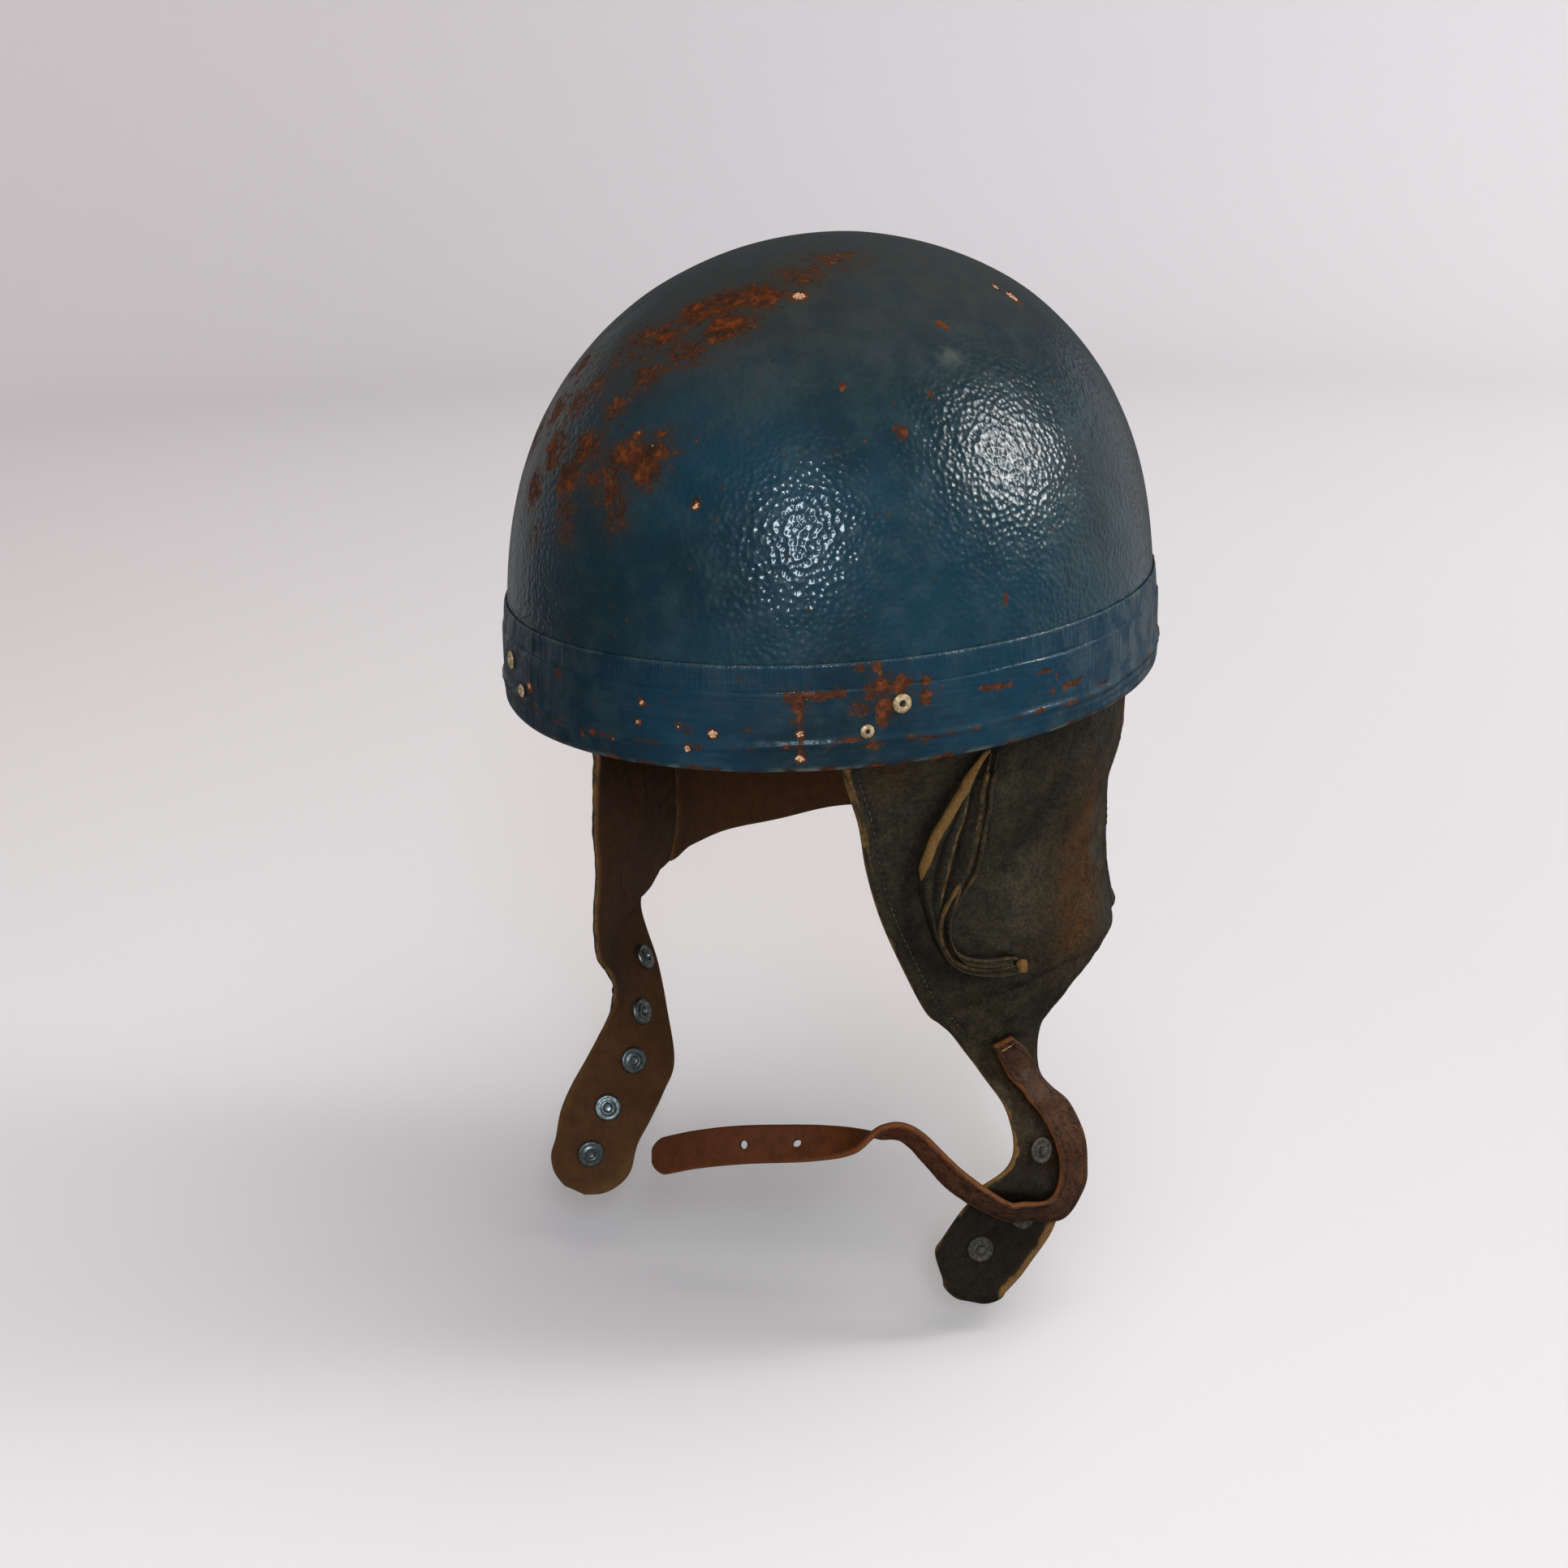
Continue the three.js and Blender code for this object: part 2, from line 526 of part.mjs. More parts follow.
function strapSolid() {
  const edges = [...sewnRows(), ...strapFree].map(({ at, edge, share = 1 }) => {
    const half = new THREE.Vector3(...edge).normalize().multiplyScalar((share * strap.width) / 2);
    const middle = new THREE.Vector3(...at);
    return { front: middle.clone().sub(half).toArray(), rear: middle.clone().add(half).toArray(), belly: 0 };
  });
  const rows = flatRows([...edges, ...roundedEnd(edges)]);
  const grid = [];
  for (let i = 0; i <= strapSteps; i++) {
    const row = through(rows, (i / strapSteps) * (rows.length - 1));
    const [front, rear] = [new THREE.Vector3(...row.slice(0, 3)), new THREE.Vector3(...row.slice(3, 6))];
    grid.push([front, rear]);
  }
  const holes = strapHoles.map((t) => {
    const [here, next] = [through(rows, t), through(rows, t + 0.1)];
    const middle = (row) => new THREE.Vector3(row[0] + row[3], row[1] + row[4], row[2] + row[5]).divideScalar(2);
    const across = new THREE.Vector3(here[3] - here[0], here[4] - here[1], here[5] - here[2]);
    const normal = middle(next).sub(middle(here)).cross(across).normalize();
    return drill(strap.holeRadius, { point: middle(here), normal }, 8);
  });
  return drilled(toSolid(sheet(grid, strap.thickness)), holes);
}

place('chin_strap', strapSolid(), finish.strap);

// Buckle for the strap, on the outside of the right flap: a leather chape round the bar of a plain frame
const buckle = { width: 20, length: 17, wire: 2.4, corner: 3, tilt: 4 };
const chape = { from: 9.1, to: 10.3, middle: 0.575, halfAcross: 0.115, thickness: 1.8, barrel: 3, steps: 5 };

function chapeGrid() {
  const grid = [];
  const lift = leather / 2 + 2 * gap + chape.thickness / 2;
  for (let i = 0; i <= chape.steps; i++) {
    const t = chape.from + ((chape.to - chape.from) * i) / chape.steps;
    const rise = lift + 2 * (i / chape.steps) ** 2;
    grid.push([-1, 0, 1].map((j) => onFlap(rightRows, t, chape.middle + j * chape.halfAcross, rise).point));
  }
  return grid;
}

// The bar's own directions at the chape's end: x along the bar, y down the frame, z away from the leather.
function barMatrix(grid) {
  const [first, middle, last] = grid[grid.length - 1];
  const across = last.clone().sub(first).normalize();
  const onward = middle.clone().sub(grid[grid.length - 2][1]).normalize();
  const outward = onward.clone().cross(across).normalize();
  const tilt = THREE.MathUtils.degToRad(buckle.tilt);
  const down = across.clone().cross(outward).multiplyScalar(Math.cos(tilt)).addScaledVector(outward, Math.sin(tilt));
  const basis = new THREE.Matrix4().makeBasis(across, down, across.clone().cross(down));
  return basis.setPosition(middle.clone().addScaledVector(onward, chape.barrel * 0.6));
}

const chapePoints = chapeGrid();
const atBar = barMatrix(chapePoints);
const rod = (radius, length, sides) => (
  toSolid(new THREE.CylinderGeometry(radius, radius, length, sides).rotateZ(Math.PI / 2).applyMatrix4(atBar))
);

function chapeSolid() {
  const barrelLength = buckle.width - 2 * buckle.wire - 4 * gap;
  const barHole = buckle.wire * Math.SQRT1_2 + gap;
  return toSolid(sheet(chapePoints, chape.thickness))
    .add(rod(chape.barrel, barrelLength, turnedSides))
    .subtract(rod(barHole, 2 * buckle.width, 8));
}

// The frame lies about the bar, which is its top side, with a straight prong from the bar to its far side.
function buckleSolid() {
  const { width, length, wire, corner } = buckle;
  const [side, top, far] = [width / 2, -wire / 2, length + wire / 2];
  const outline = [
    [side - corner, top], [side, top + corner], [side, far - corner], [side - corner, far],
    [corner - side, far], [-side, far - corner], [-side, top + corner], [corner - side, top],
  ];
  const shape = new THREE.Shape(outline.map(([x, y]) => new THREE.Vector2(x, y)));
  const [inside, near, end] = [side - wire, top + wire, far - wire];
  const window = [[-inside, near], [inside, near], [inside, end], [-inside, end]];
  shape.holes.push(new THREE.Path(window.map(([x, y]) => new THREE.Vector2(x, y))));
  const frame = new THREE.ExtrudeGeometry(shape, { depth: wire, bevelEnabled: false }).translate(0, 0, -wire / 2);
  const prong = new THREE.BoxGeometry(wire * 0.8, length - chape.barrel, wire * 0.8);
  prong.translate(0, (length + chape.barrel) / 2 + gap, wire * 0.6);
  return toSolid(frame.applyMatrix4(atBar)).add(toSolid(prong.applyMatrix4(atBar)));
}

place('buckle_chape', mirrored(toGeometry(chapeSolid())), finish.strap);
place('strap_buckle', mirrored(toGeometry(buckleSolid())), finish.snapMetal);

export default helmet;
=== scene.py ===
# %% [markdown]
# # A worn pudding basin helmet
#
# A hard painted dome with a taped rim, leather ear flaps that run down into studded chin tabs, a
# leather neck curtain and a punched chin strap. It was made for riding a motorcycle, and this one has
# been worn for years: the paint is chipped to the brown under it and the leather's edges are rubbed
# to tan. Each piece gets its own step, in the order in which a maker would put them together.

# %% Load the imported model
import math

import bmesh
import bpy
import numpy as np
from mathutils import Matrix, Vector


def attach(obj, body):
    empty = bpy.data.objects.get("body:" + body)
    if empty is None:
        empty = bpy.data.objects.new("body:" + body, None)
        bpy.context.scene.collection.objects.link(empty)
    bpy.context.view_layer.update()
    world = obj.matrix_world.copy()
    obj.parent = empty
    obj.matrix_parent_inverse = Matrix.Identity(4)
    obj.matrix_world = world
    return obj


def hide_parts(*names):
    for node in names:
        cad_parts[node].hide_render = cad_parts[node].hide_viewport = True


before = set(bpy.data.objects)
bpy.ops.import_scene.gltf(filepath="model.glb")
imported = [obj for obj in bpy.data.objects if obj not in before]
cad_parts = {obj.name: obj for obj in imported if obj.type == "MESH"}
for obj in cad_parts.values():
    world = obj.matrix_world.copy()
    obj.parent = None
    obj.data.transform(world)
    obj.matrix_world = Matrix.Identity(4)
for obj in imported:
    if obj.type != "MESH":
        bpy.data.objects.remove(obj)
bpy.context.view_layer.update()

# %% [markdown]
# ## Camera, floor and light
#
# The helmet hangs free, as a head would hold it, so the floor is only a pale surface a little below
# it. A narrow leaning window in front, and a window with a brighter pane in it behind the wearer's
# left shoulder, make the two broken highlights on the dome. Two wide dim glows give its edges the
# sheen of pale walls. The other lights only fill, and nothing mirrors them: a ceiling, a wash on the
# far wall and a low bounce off the floor. Glossy rays pass the floor by, because its bright
# reflection would lay a grey veil over the dark paint and leather.

# %% Camera
view_azimuth, view_elevation, view_roll = (math.radians(a) for a in (26.3, 18.0, -1.3))
view_distance = 0.9064
view_centre = (-0.0198, -0.0469)

back = Vector((
    math.sin(view_azimuth) * math.cos(view_elevation),
    -math.cos(view_azimuth) * math.cos(view_elevation),
    math.sin(view_elevation),
))
level = Vector((math.cos(view_azimuth), math.sin(view_azimuth), 0))
upright = back.cross(level)
camera_right = level * math.cos(view_roll) + upright * math.sin(view_roll)
camera_up = upright * math.cos(view_roll) - level * math.sin(view_roll)

lens = bpy.data.cameras.new("camera")
sensor_width, focal_pixels, picture_pixels = 36, 3000, 1932
lens.lens = sensor_width * focal_pixels / picture_pixels
lens.sensor_width = sensor_width
camera = bpy.data.objects.new("camera", lens)
turn = Matrix((camera_right, camera_up, back)).transposed().to_4x4()
spot = camera_right * view_centre[0] + camera_up * view_centre[1] + back * view_distance
camera.matrix_world = Matrix.Translation(spot) @ turn
bpy.context.collection.objects.link(camera)
bpy.context.scene.camera = camera
print("camera at", [round(v, 3) for v in spot], "lens", round(lens.lens, 1))

# %% Small helpers for shader nodes
def shader(name, **surface):
    """A new material, its node tree and its Principled shader, with plain values set on the shader."""
    material = bpy.data.materials.new(name)
    material.use_nodes = True
    tree = material.node_tree
    surface_node = tree.nodes["Principled BSDF"]
    for socket, value in surface.items():
        surface_node.inputs[socket.replace("_", " ")].default_value = value
    return material, tree, surface_node


def node(tree, kind, inputs=None, **settings):
    """A node with its settings; an input is a value, or another node's output to link."""
    made = tree.nodes.new(kind)
    for key, value in settings.items():
        setattr(made, key, value)
    for key, value in (inputs or {}).items():
        if isinstance(value, bpy.types.NodeSocket):
            tree.links.new(value, made.inputs[key])
        else:
            made.inputs[key].default_value = value
    return made


def srgb(red, green, blue):
    """A colour as a picture editor shows it (0 to 255), in the linear form that shaders use."""
    linear = [(c / 255 / 12.92 if c < 10 else ((c / 255 + 0.055) / 1.055) ** 2.4) for c in (red, green, blue)]
    return (*linear, 1)


def mix(tree, share, one, other):
    """Mixes two colours; each may be a plain colour or another node's output."""
    return node(tree, "ShaderNodeMix", {0: share, 6: one, 7: other}, data_type="RGBA").outputs[2]


def between(tree, value, low, high, to_low=0.0, to_high=1.0, smooth=True):
    """Stretches a number from one range to another, and holds it inside."""
    kind = "SMOOTHSTEP" if smooth else "LINEAR"
    return node(tree, "ShaderNodeMapRange", {
        "Value": value, "From Min": low, "From Max": high, "To Min": to_low, "To Max": to_high,
    }, interpolation_type=kind).outputs["Result"]


def noise(tree, place, scale, detail=2.0, roughness=0.5, distortion=0.0):
    return node(tree, "ShaderNodeTexNoise", {
        "Vector": place, "Scale": scale, "Detail": detail, "Roughness": roughness, "Distortion": distortion,
    }).outputs["Fac"]


# %% Floor
floor_height = -0.238
floor_material, floor_tree, floor_shader = shader("pale_floor", Roughness=0.85)
floor_place = node(floor_tree, "ShaderNodeTexCoord").outputs["Object"]
floor_cloud = noise(floor_tree, floor_place, 1.4)
floor_split = node(floor_tree, "ShaderNodeSeparateXYZ", {"Vector": floor_place})


def painted_floor_light(axis, start, end, first, last):
    """Painted light and shade on the floor: a colour that runs from the first to the last between two places along an
    axis.
    """
    share = between(floor_tree, floor_split.outputs[axis], start, end)
    ramp = node(floor_tree, "ShaderNodeValToRGB", {"Fac": share})
    ramp.color_ramp.elements[0].color, ramp.color_ramp.elements[1].color = first, last
    return ramp.outputs["Color"]


# The floor's colour is painted lighter and darker across it and towards the far wall, as the room's light falls.
floor_near = painted_floor_light("X", -0.9, 0.9, srgb(230, 224, 223), srgb(206, 203, 203))
floor_far = painted_floor_light("X", -2.4, 1.6, srgb(208, 203, 205), srgb(250, 249, 250))
floor_mix = mix(floor_tree, between(floor_tree, floor_split.outputs["Y"], 0.2, 2.2), floor_near, floor_far)
floor_cloud = between(floor_tree, floor_cloud, 0.0, 1.0, 0.97, 1.0, smooth=False)
floor_tint = node(floor_tree, "ShaderNodeVectorMath", {0: floor_mix, 1: floor_cloud}, operation="MULTIPLY")
floor_tree.links.new(floor_tint.outputs["Vector"], floor_shader.inputs["Base Color"])

# %% The floor's shape: a wide dish that turns up into a wall far behind
flat_reach, wall_reach, wall_top, round_steps = 2.3, 3.1, 1.5, 96
rounding = wall_reach - flat_reach
floor_profile = [(0.4, 0.0), (1.2, 0.0), (flat_reach, 0.0)]
for angle in np.radians(np.linspace(8, 90, 14)):
    floor_profile.append((flat_reach + rounding * math.sin(angle), rounding * (1 - math.cos(angle))))
floor_profile.append((wall_reach, wall_top))
floor_shape = bmesh.new()
for radius, rise in floor_profile:
    for angle in np.linspace(0, 2 * math.pi, round_steps, endpoint=False):
        floor_shape.verts.new((radius * math.cos(angle), radius * math.sin(angle), floor_height + rise))
floor_shape.verts.ensure_lookup_table()
floor_shape.faces.new(floor_shape.verts[:round_steps])
for k in range(len(floor_profile) - 1):
    for j in range(round_steps):
        low, high = k * round_steps, (k + 1) * round_steps
        following = (j + 1) % round_steps
        corners = (low + j, low + following, high + following, high + j)
        floor_shape.faces.new([floor_shape.verts[c] for c in corners])
bmesh.ops.recalc_face_normals(floor_shape, faces=floor_shape.faces)
floor_mesh = bpy.data.meshes.new("floor")
floor_shape.to_mesh(floor_mesh)
floor_shape.free()


def smooth_shaded(mesh):
    mesh.polygons.foreach_set("use_smooth", [True] * len(mesh.polygons))


smooth_shaded(floor_mesh)
floor_mesh.materials.append(floor_material)
floor = bpy.data.objects.new("floor", floor_mesh)
floor.visible_glossy = False
bpy.context.collection.objects.link(floor)

# %% Sky and soft lights
sky = bpy.data.worlds.new("studio")
sky.use_nodes = True
sky.node_tree.nodes["Background"].inputs["Color"].default_value = srgb(250, 247, 250)
sky.node_tree.nodes["Background"].inputs["Strength"].default_value = 0.10
bpy.context.scene.world = sky
bpy.context.scene.view_settings.view_transform = "Standard"


def soft_light(name, towards, distance, size, power, aim, colour=(1, 1, 1), mirrored=True, lean=0.0):
    """A rectangular light in watts, at a distance along a direction from the point it faces."""
    lamp = bpy.data.lights.new(name, "AREA")
    lamp.shape = "RECTANGLE"
    lamp.size, lamp.size_y = size
    lamp.energy = power
    lamp.color = colour
    holder = bpy.data.objects.new(name, lamp)
    direction = Vector(towards).normalized()
    holder.location = Vector(aim) + direction * distance
    facing = direction.to_track_quat("Z", "Y").to_matrix()
    holder.rotation_euler = (facing @ Matrix.Rotation(lean, 3, "Z")).to_euler()
    holder.visible_glossy, holder.visible_camera = mirrored, False
    bpy.context.collection.objects.link(holder)
    return holder


front_spot, side_spot, warm_white = (0.043, -0.119, 0.074), (0.088, -0.057, 0.091), (1.0, 0.985, 0.99)
soft_light(
    "front_window", (0.46, -0.78, 0.42), 2.0, (0.25, 0.64), 15, front_spot, (0.74, 0.88, 1.0), lean=-0.35)
soft_light(
    "front_fill", (0.46, -0.78, 0.5), 2.2, (1.6, 1.6), 14, (0.043, -0.119, 0), (0.98, 0.98, 1.0), mirrored=False)
soft_light("side_window", (0.80, 0.42, 0.43), 2.0, (0.72, 0.8), 12, side_spot, (0.97, 1.0, 0.98))
soft_light("side_pane", (0.80, 0.42, 0.40), 2.0, (0.3, 0.4), 5, side_spot, (1.0, 1.0, 0.96))
wall_glows = [
    ("wall_glow_right", (0.50, 0.86, -0.02), (2.8, 1.6), 3.2),
    ("wall_glow_left", (-0.88, 0.46, 0.05), (1.8, 1.6), 1.4),
]
for name, towards, size, power in wall_glows:
    glow = soft_light(name, towards, 2.6, size, power, (0, 0, 0.02), (1.0, 0.985, 0.96))
    glow.visible_diffuse = False
soft_light(
    "floor_bounce", (0.5, -1.0, -0.22), 0.8, (1.4, 0.3), 1.7, (0.05, 0, -0.02), (1.0, 0.985, 0.97), mirrored=False)
soft_light("ceiling", (0.22, 0.0, 1.0), 2.9, (3.0, 3.0), 90, (0.55, 0, 0), warm_white, mirrored=False)
soft_light("wall_wash", (0.35, -0.75, 0.75), 1.7, (3.2, 1.2), 9, (-1.3, 2.7, 0.3), warm_white, mirrored=False)

# %% [markdown]
# ## How the surfaces are made
#
# The dome, the tape and the leather all follow rules: a crown curve, a section carried round the rim,
# rows of a pattern joined by a smooth curve. NumPy works out a grid of points for each, and one
# function turns two grids, an outer and an inner one, into a closed wall. Lengths are in millimetres
# until the mesh is made.

# %% Curves, grids and noise
def through(rows, down):
    """Smooth curve through a table's rows; 2.5 is half way between the third row and the fourth."""
    rows = np.asarray(rows, float)
    down = np.asarray(down, float)
    last = len(rows) - 1
    i = np.clip(np.floor(down).astype(int), 0, last - 1)
    f = (down - i)[..., None]
    a, b, d, e = (rows[np.clip(i + k, 0, last)] for k in (-1, 0, 1, 2))
    return b + 0.5 * f * (d - a + f * (2 * a - 5 * b + 4 * d - e + f * (3 * (b - d) + e - a)))


def unit(vectors):
    return vectors / np.maximum(np.linalg.norm(vectors, axis=-1, keepdims=True), 1e-9)


def grid_normals(grid):
    """Outward directions of a grid whose rows run down and whose columns run across."""
    return unit(np.cross(np.gradient(grid, axis=0), np.gradient(grid, axis=1)))


def ripple(points, size, seed, stretch=(1, 1, 1)):
    """Gentle seeded noise from -1 to 1, with hills about `size` millimetres apart."""
    chance = np.random.default_rng(seed)
    scaled = points / np.asarray(stretch, float)
    total = np.zeros(points.shape[:-1])
    for _ in range(18):
        direction = unit(chance.normal(size=3))
        length = size * chance.uniform(0.7, 1.6)
        total += np.sin(scaled @ direction * 2 * math.pi / length + chance.uniform(0, 2 * math.pi))
    return np.clip(total / 6, -1, 1)


def bump_line(away, width):
    """1 on a line, falling smoothly to 0 about `width` millimetres away from it."""
    return np.exp(-((away / width) ** 2))


def smooth_step(low, high, value):
    x = np.clip((value - low) / (high - low), 0, 1)
    return x * x * (3 - 2 * x)


def away_from(points, start, end):
    """Distance from each point to a straight line between two points."""
    start, end = np.asarray(start, float), np.asarray(end, float)
    run = end - start
    share = np.clip(((points - start) @ run) / (run @ run), 0, 1)[..., None]
    return np.linalg.norm(points - (start + run * share), axis=-1)


def away_from_path(points, path):
    return np.min([away_from(points, a, b) for a, b in zip(path[:-1], path[1:])], axis=0)


def walked_along(points):
    """The distance walked along a line to each of its points."""
    return np.concatenate([[0], np.cumsum(np.linalg.norm(np.diff(points, axis=0), axis=1))])


def sheet_area(grid):
    """Area in square millimetres, added up over the cells of a grid."""
    down, across = np.diff(grid, axis=0)[:, :-1], np.diff(grid, axis=1)[:-1]
    return float(np.linalg.norm(np.cross(down, across), axis=-1).sum())


def rounded_edge(away, reach):
    """0 at a cut edge, rising like a quarter circle to 1 at `reach` millimetres from it."""
    return np.sqrt(np.clip(1 - (1 - np.clip(away / reach, 0, 1)) ** 2, 0, 1))


def join_border(grid, border):
    """Moves the outermost points of a grid onto those of another, where the two faces meet."""
    grid[0], grid[-1], grid[:, 0], grid[:, -1] = border[0], border[-1], border[:, 0], border[:, -1]


# %% Meshes from grids
def keep_fields(mesh, fields, kind="FLOAT"):
    """Keeps named numbers, or named directions, at a mesh's vertices."""
    for name, values in fields.items():
        layer = mesh.attributes.new(name, kind, "POINT")
        layer.data.foreach_set("value" if kind == "FLOAT" else "vector", np.asarray(values, np.float32).ravel())


def add_mesh(name, points, faces, fields=None):
    """An object from points in millimetres, with named numbers kept at its vertices."""
    mesh = bpy.data.meshes.new(name)
    mesh.from_pydata((np.asarray(points) / 1000).tolist(), [], faces)
    keep_fields(mesh, fields or {})
    smooth_shaded(mesh)
    mesh.update()
    piece = bpy.data.objects.new(name, mesh)
    bpy.context.collection.objects.link(piece)
    return piece


def wall(name, outer, inner, fields=None, inside_fields=None):
    """Closed sheet between two grids that share their border points, with the outer one outward."""
    rows, columns = outer.shape[:2]
    front = np.arange(rows * columns).reshape(rows, columns)
    behind = front.copy()
    count = (rows - 2) * (columns - 2)
    behind[1:-1, 1:-1] = rows * columns + np.arange(count).reshape(rows - 2, columns - 2)
    points = np.concatenate([outer.reshape(-1, 3), inner[1:-1, 1:-1].reshape(-1, 3)])

    def quads(index):
        return np.stack([index[:-1, :-1], index[1:, :-1], index[1:, 1:], index[:-1, 1:]], -1).reshape(-1, 4)

    faces = np.concatenate([quads(front), quads(behind)[:, ::-1]]).tolist()
    values = {}
    for field, grid in (fields or {}).items():
        back_grid = (inside_fields or {}).get(field, grid)
        values[field] = np.concatenate([grid.reshape(-1), back_grid[1:-1, 1:-1].reshape(-1)])
    return add_mesh(name, points, faces, values)


def turned_over(fields):
    """Fields with their columns in the opposite order, for a grid that is turned the same way."""
    return {name: grid[:, ::-1] for name, grid in fields.items()}


def ring(name, section, fields=None):
    """Closed ring from a grid of sections: rows go round, columns go along the closed section."""
    turns, count = section.shape[:2]
    index = np.arange(turns * count).reshape(turns, count)
    following = np.roll(index, -1, axis=0)
    faces = np.stack([index, following, np.roll(following, -1, axis=1), np.roll(index, -1, axis=1)], -1)
    values = {field: grid.reshape(-1) for field, grid in (fields or {}).items()}
    return add_mesh(name, section.reshape(-1, 3), faces.reshape(-1, 4).tolist(), values)


def faces_outward(piece):
    """Turns every face of a closed piece outward."""
    shape = bmesh.new()
    shape.from_mesh(piece.data)
    bmesh.ops.recalc_face_normals(shape, faces=shape.faces)
    shape.to_mesh(piece.data)
    shape.free()


def finish_piece(piece, material, slot, *nodes):
    """Gives a piece its material and its place in the model, and says what it stands for."""
    piece.data.materials.clear()
    piece.data.materials.append(material)
    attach(piece, "root")
    if nodes:
        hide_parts(*nodes)
    print(piece.name, len(piece.data.polygons), "faces", "for", ", ".join(nodes) or "detail")

# %% [markdown]
# ## The dome
#
# The real dome is moulded from layers of cloth and resin, so it is smooth in form but never quite
# true. A lathe alone gives a perfect bowl. Here the crown curve is turned about the middle, drawn
# wider in y than in x, and a slow ripple of a fraction of a millimetre takes the machine look away.

# %% The dome's curve and its surface
half_width, half_length, crown_height, dome_wall = 113.6, 138.6, 155.0, 4.0
mean_radius = 126
height_power, radius_power = 2.9, 1.93


def dome_share(z):
    """The dome's radius at a height, as a share of its radius at the rim."""
    level = np.clip(z / crown_height, 0, 1)
    return (1 - level ** height_power) ** (1 / radius_power)


def dome_side(height, count):
    """The side's curve from rim to crown in even steps: share of the rim's radius, and height."""
    angle = np.linspace(0, math.pi / 2, 4000)
    share = np.clip(np.cos(angle), 0, 1) ** (2 / radius_power)
    rise = height * np.sin(angle) ** (2 / height_power)
    walked = np.concatenate([[0], np.cumsum(np.hypot(np.diff(share * mean_radius), np.diff(rise)))])
    even = np.linspace(0, walked[-1], count)
    return np.interp(even, walked, share), np.interp(even, walked, rise)


def turned_about(share, height, turns, grow=0.0):
    """Points round the dome for each height; turn 0 is the front and positive turns are to the left."""
    turn = np.linspace(0, 2 * math.pi, turns, endpoint=False)[None, :]
    x = (half_width + grow) * share[:, None] * np.sin(turn)
    y = -(half_length + grow) * share[:, None] * np.cos(turn)
    return np.stack([x, y, np.broadcast_to(height[:, None], x.shape)], -1)


def round_rim(turn, z, share, out=0.0):
    """Points at a share of the rim's size, and at a distance out from there; turns in radians."""
    x, y = (half_width * share + out) * np.sin(turn), -(half_length * share + out) * np.cos(turn)
    return np.stack(np.broadcast_arrays(x, y, z), -1)


def dome_marks(points, marks):
    """How strongly each point lies in a list of marks: (turn in degrees, height, size, strength)."""
    level = np.zeros(points.shape[:-1])
    for turn, z, size, strength in marks:
        centre = round_rim(math.radians(turn), z, dome_share(z))
        level = np.maximum(level, strength * bump_line(np.linalg.norm(points - centre, axis=-1), size))
    return level


# %% Where the paint has gone from the dome
bare_patches = [
    (-5, 139, 12, 0.95), (4, 141, 11, 0.92), (0, 133, 11, 0.95), (-13, 136, 12, 0.85), (-18, 129, 13, 0.72),
    (-7, 126, 11, 0.70), (-27, 126, 14, 0.66), (-15, 118, 11, 0.66), (-30, 116, 13, 0.66), (16, 146, 12, 0.62),
    (-34, 107, 12, 0.70), (-46, 115, 14, 0.66), (-43, 102, 13, 0.74), (-20, 107, 10, 0.6), (30, 150, 14, 0.55),
    (-5, 98, 8, 0.85), (-8, 94, 9, 1.0), (-5, 91, 7, 0.95), (-13, 94, 8, 0.85), (-12, 84, 8, 0.85),
    (-10, 77, 7, 0.7), (-17, 88, 9, 0.68), (-23, 95, 10, 0.88), (-26, 86, 10, 0.9), (-24, 76, 8, 0.75),
    (-23, 69, 8, 0.62), (-34, 92, 12, 0.8), (-38, 79, 11, 0.78), (-34, 66, 9, 0.58), (-51, 92, 14, 0.66),
    (-60, 108, 18, 0.55), (-72, 90, 16, 0.46), (-58, 72, 12, 0.42), (-75, 122, 16, 0.5),
]
bare_dots = [
    (42.1, 102.2, 3.0, 0.9), (31.4, 116.4, 2.6, 0.85), (59.3, 130.6, 3.0, 0.85), (82.6, 109, 2.6, 0.8),
    (57.8, 46.8, 2.4, 0.8), (39.9, 150.5, 2.4, 0.7), (20, 148, 3.4, 0.7), (36, 107, 2.0, 0.75),
    (24, 121, 1.8, 0.7), (50, 112, 1.8, 0.65), (118, 96, 2.6, 0.8), (140, 122, 4.0, 0.7),
    (168, 84, 3.4, 0.75), (197, 126, 4.2, 0.8), (-150, 101, 5.0, 0.75), (-112, 70, 3.2, 0.7),
    (155, 58, 2.2, 0.7), (215, 73, 2.8, 0.7),
]
ground_chips = [
    (18.8, 140.8, 2.6, 1.0), (96.8, 134.0, 3.0, 1.0), (95, 137.5, 1.8, 0.9), (5.5, 82.7, 1.5, 1.0),
    (-10, 101.5, 1.2, 0.7), (-15, 104, 1.1, 0.7), (-5.3, 99, 1.0, 0.7), (188, 112, 2.4, 0.9),
]
pale_rubs = [(56.0, 122.3, 3.4, 0.34), (58.4, 122.3, 3.0, 0.3), (170, 130, 6, 0.4)]

# %% Build the dome
outer_share, outer_height = dome_side(crown_height, 124)
inner_share, inner_height = dome_side(crown_height - dome_wall, 60)
turns = 320
outside = turned_about(outer_share[:-1], outer_height[:-1], turns)
inside = turned_about(inner_share[:-1], inner_height[:-1], turns, grow=-dome_wall)

outward = unit(outside / np.array([half_width, half_length, crown_height]) ** 2)
sway = 0.30 * ripple(outside, 85, 4) + 0.10 * ripple(outside, 24, 5)
outside = outside + outward * (sway * smooth_step(34, 48, outside[..., 2]))[..., None]
inside = inside + unit(inside) * (0.25 * ripple(inside, 30, 6) * smooth_step(20, 40, inside[..., 2]))[..., None]

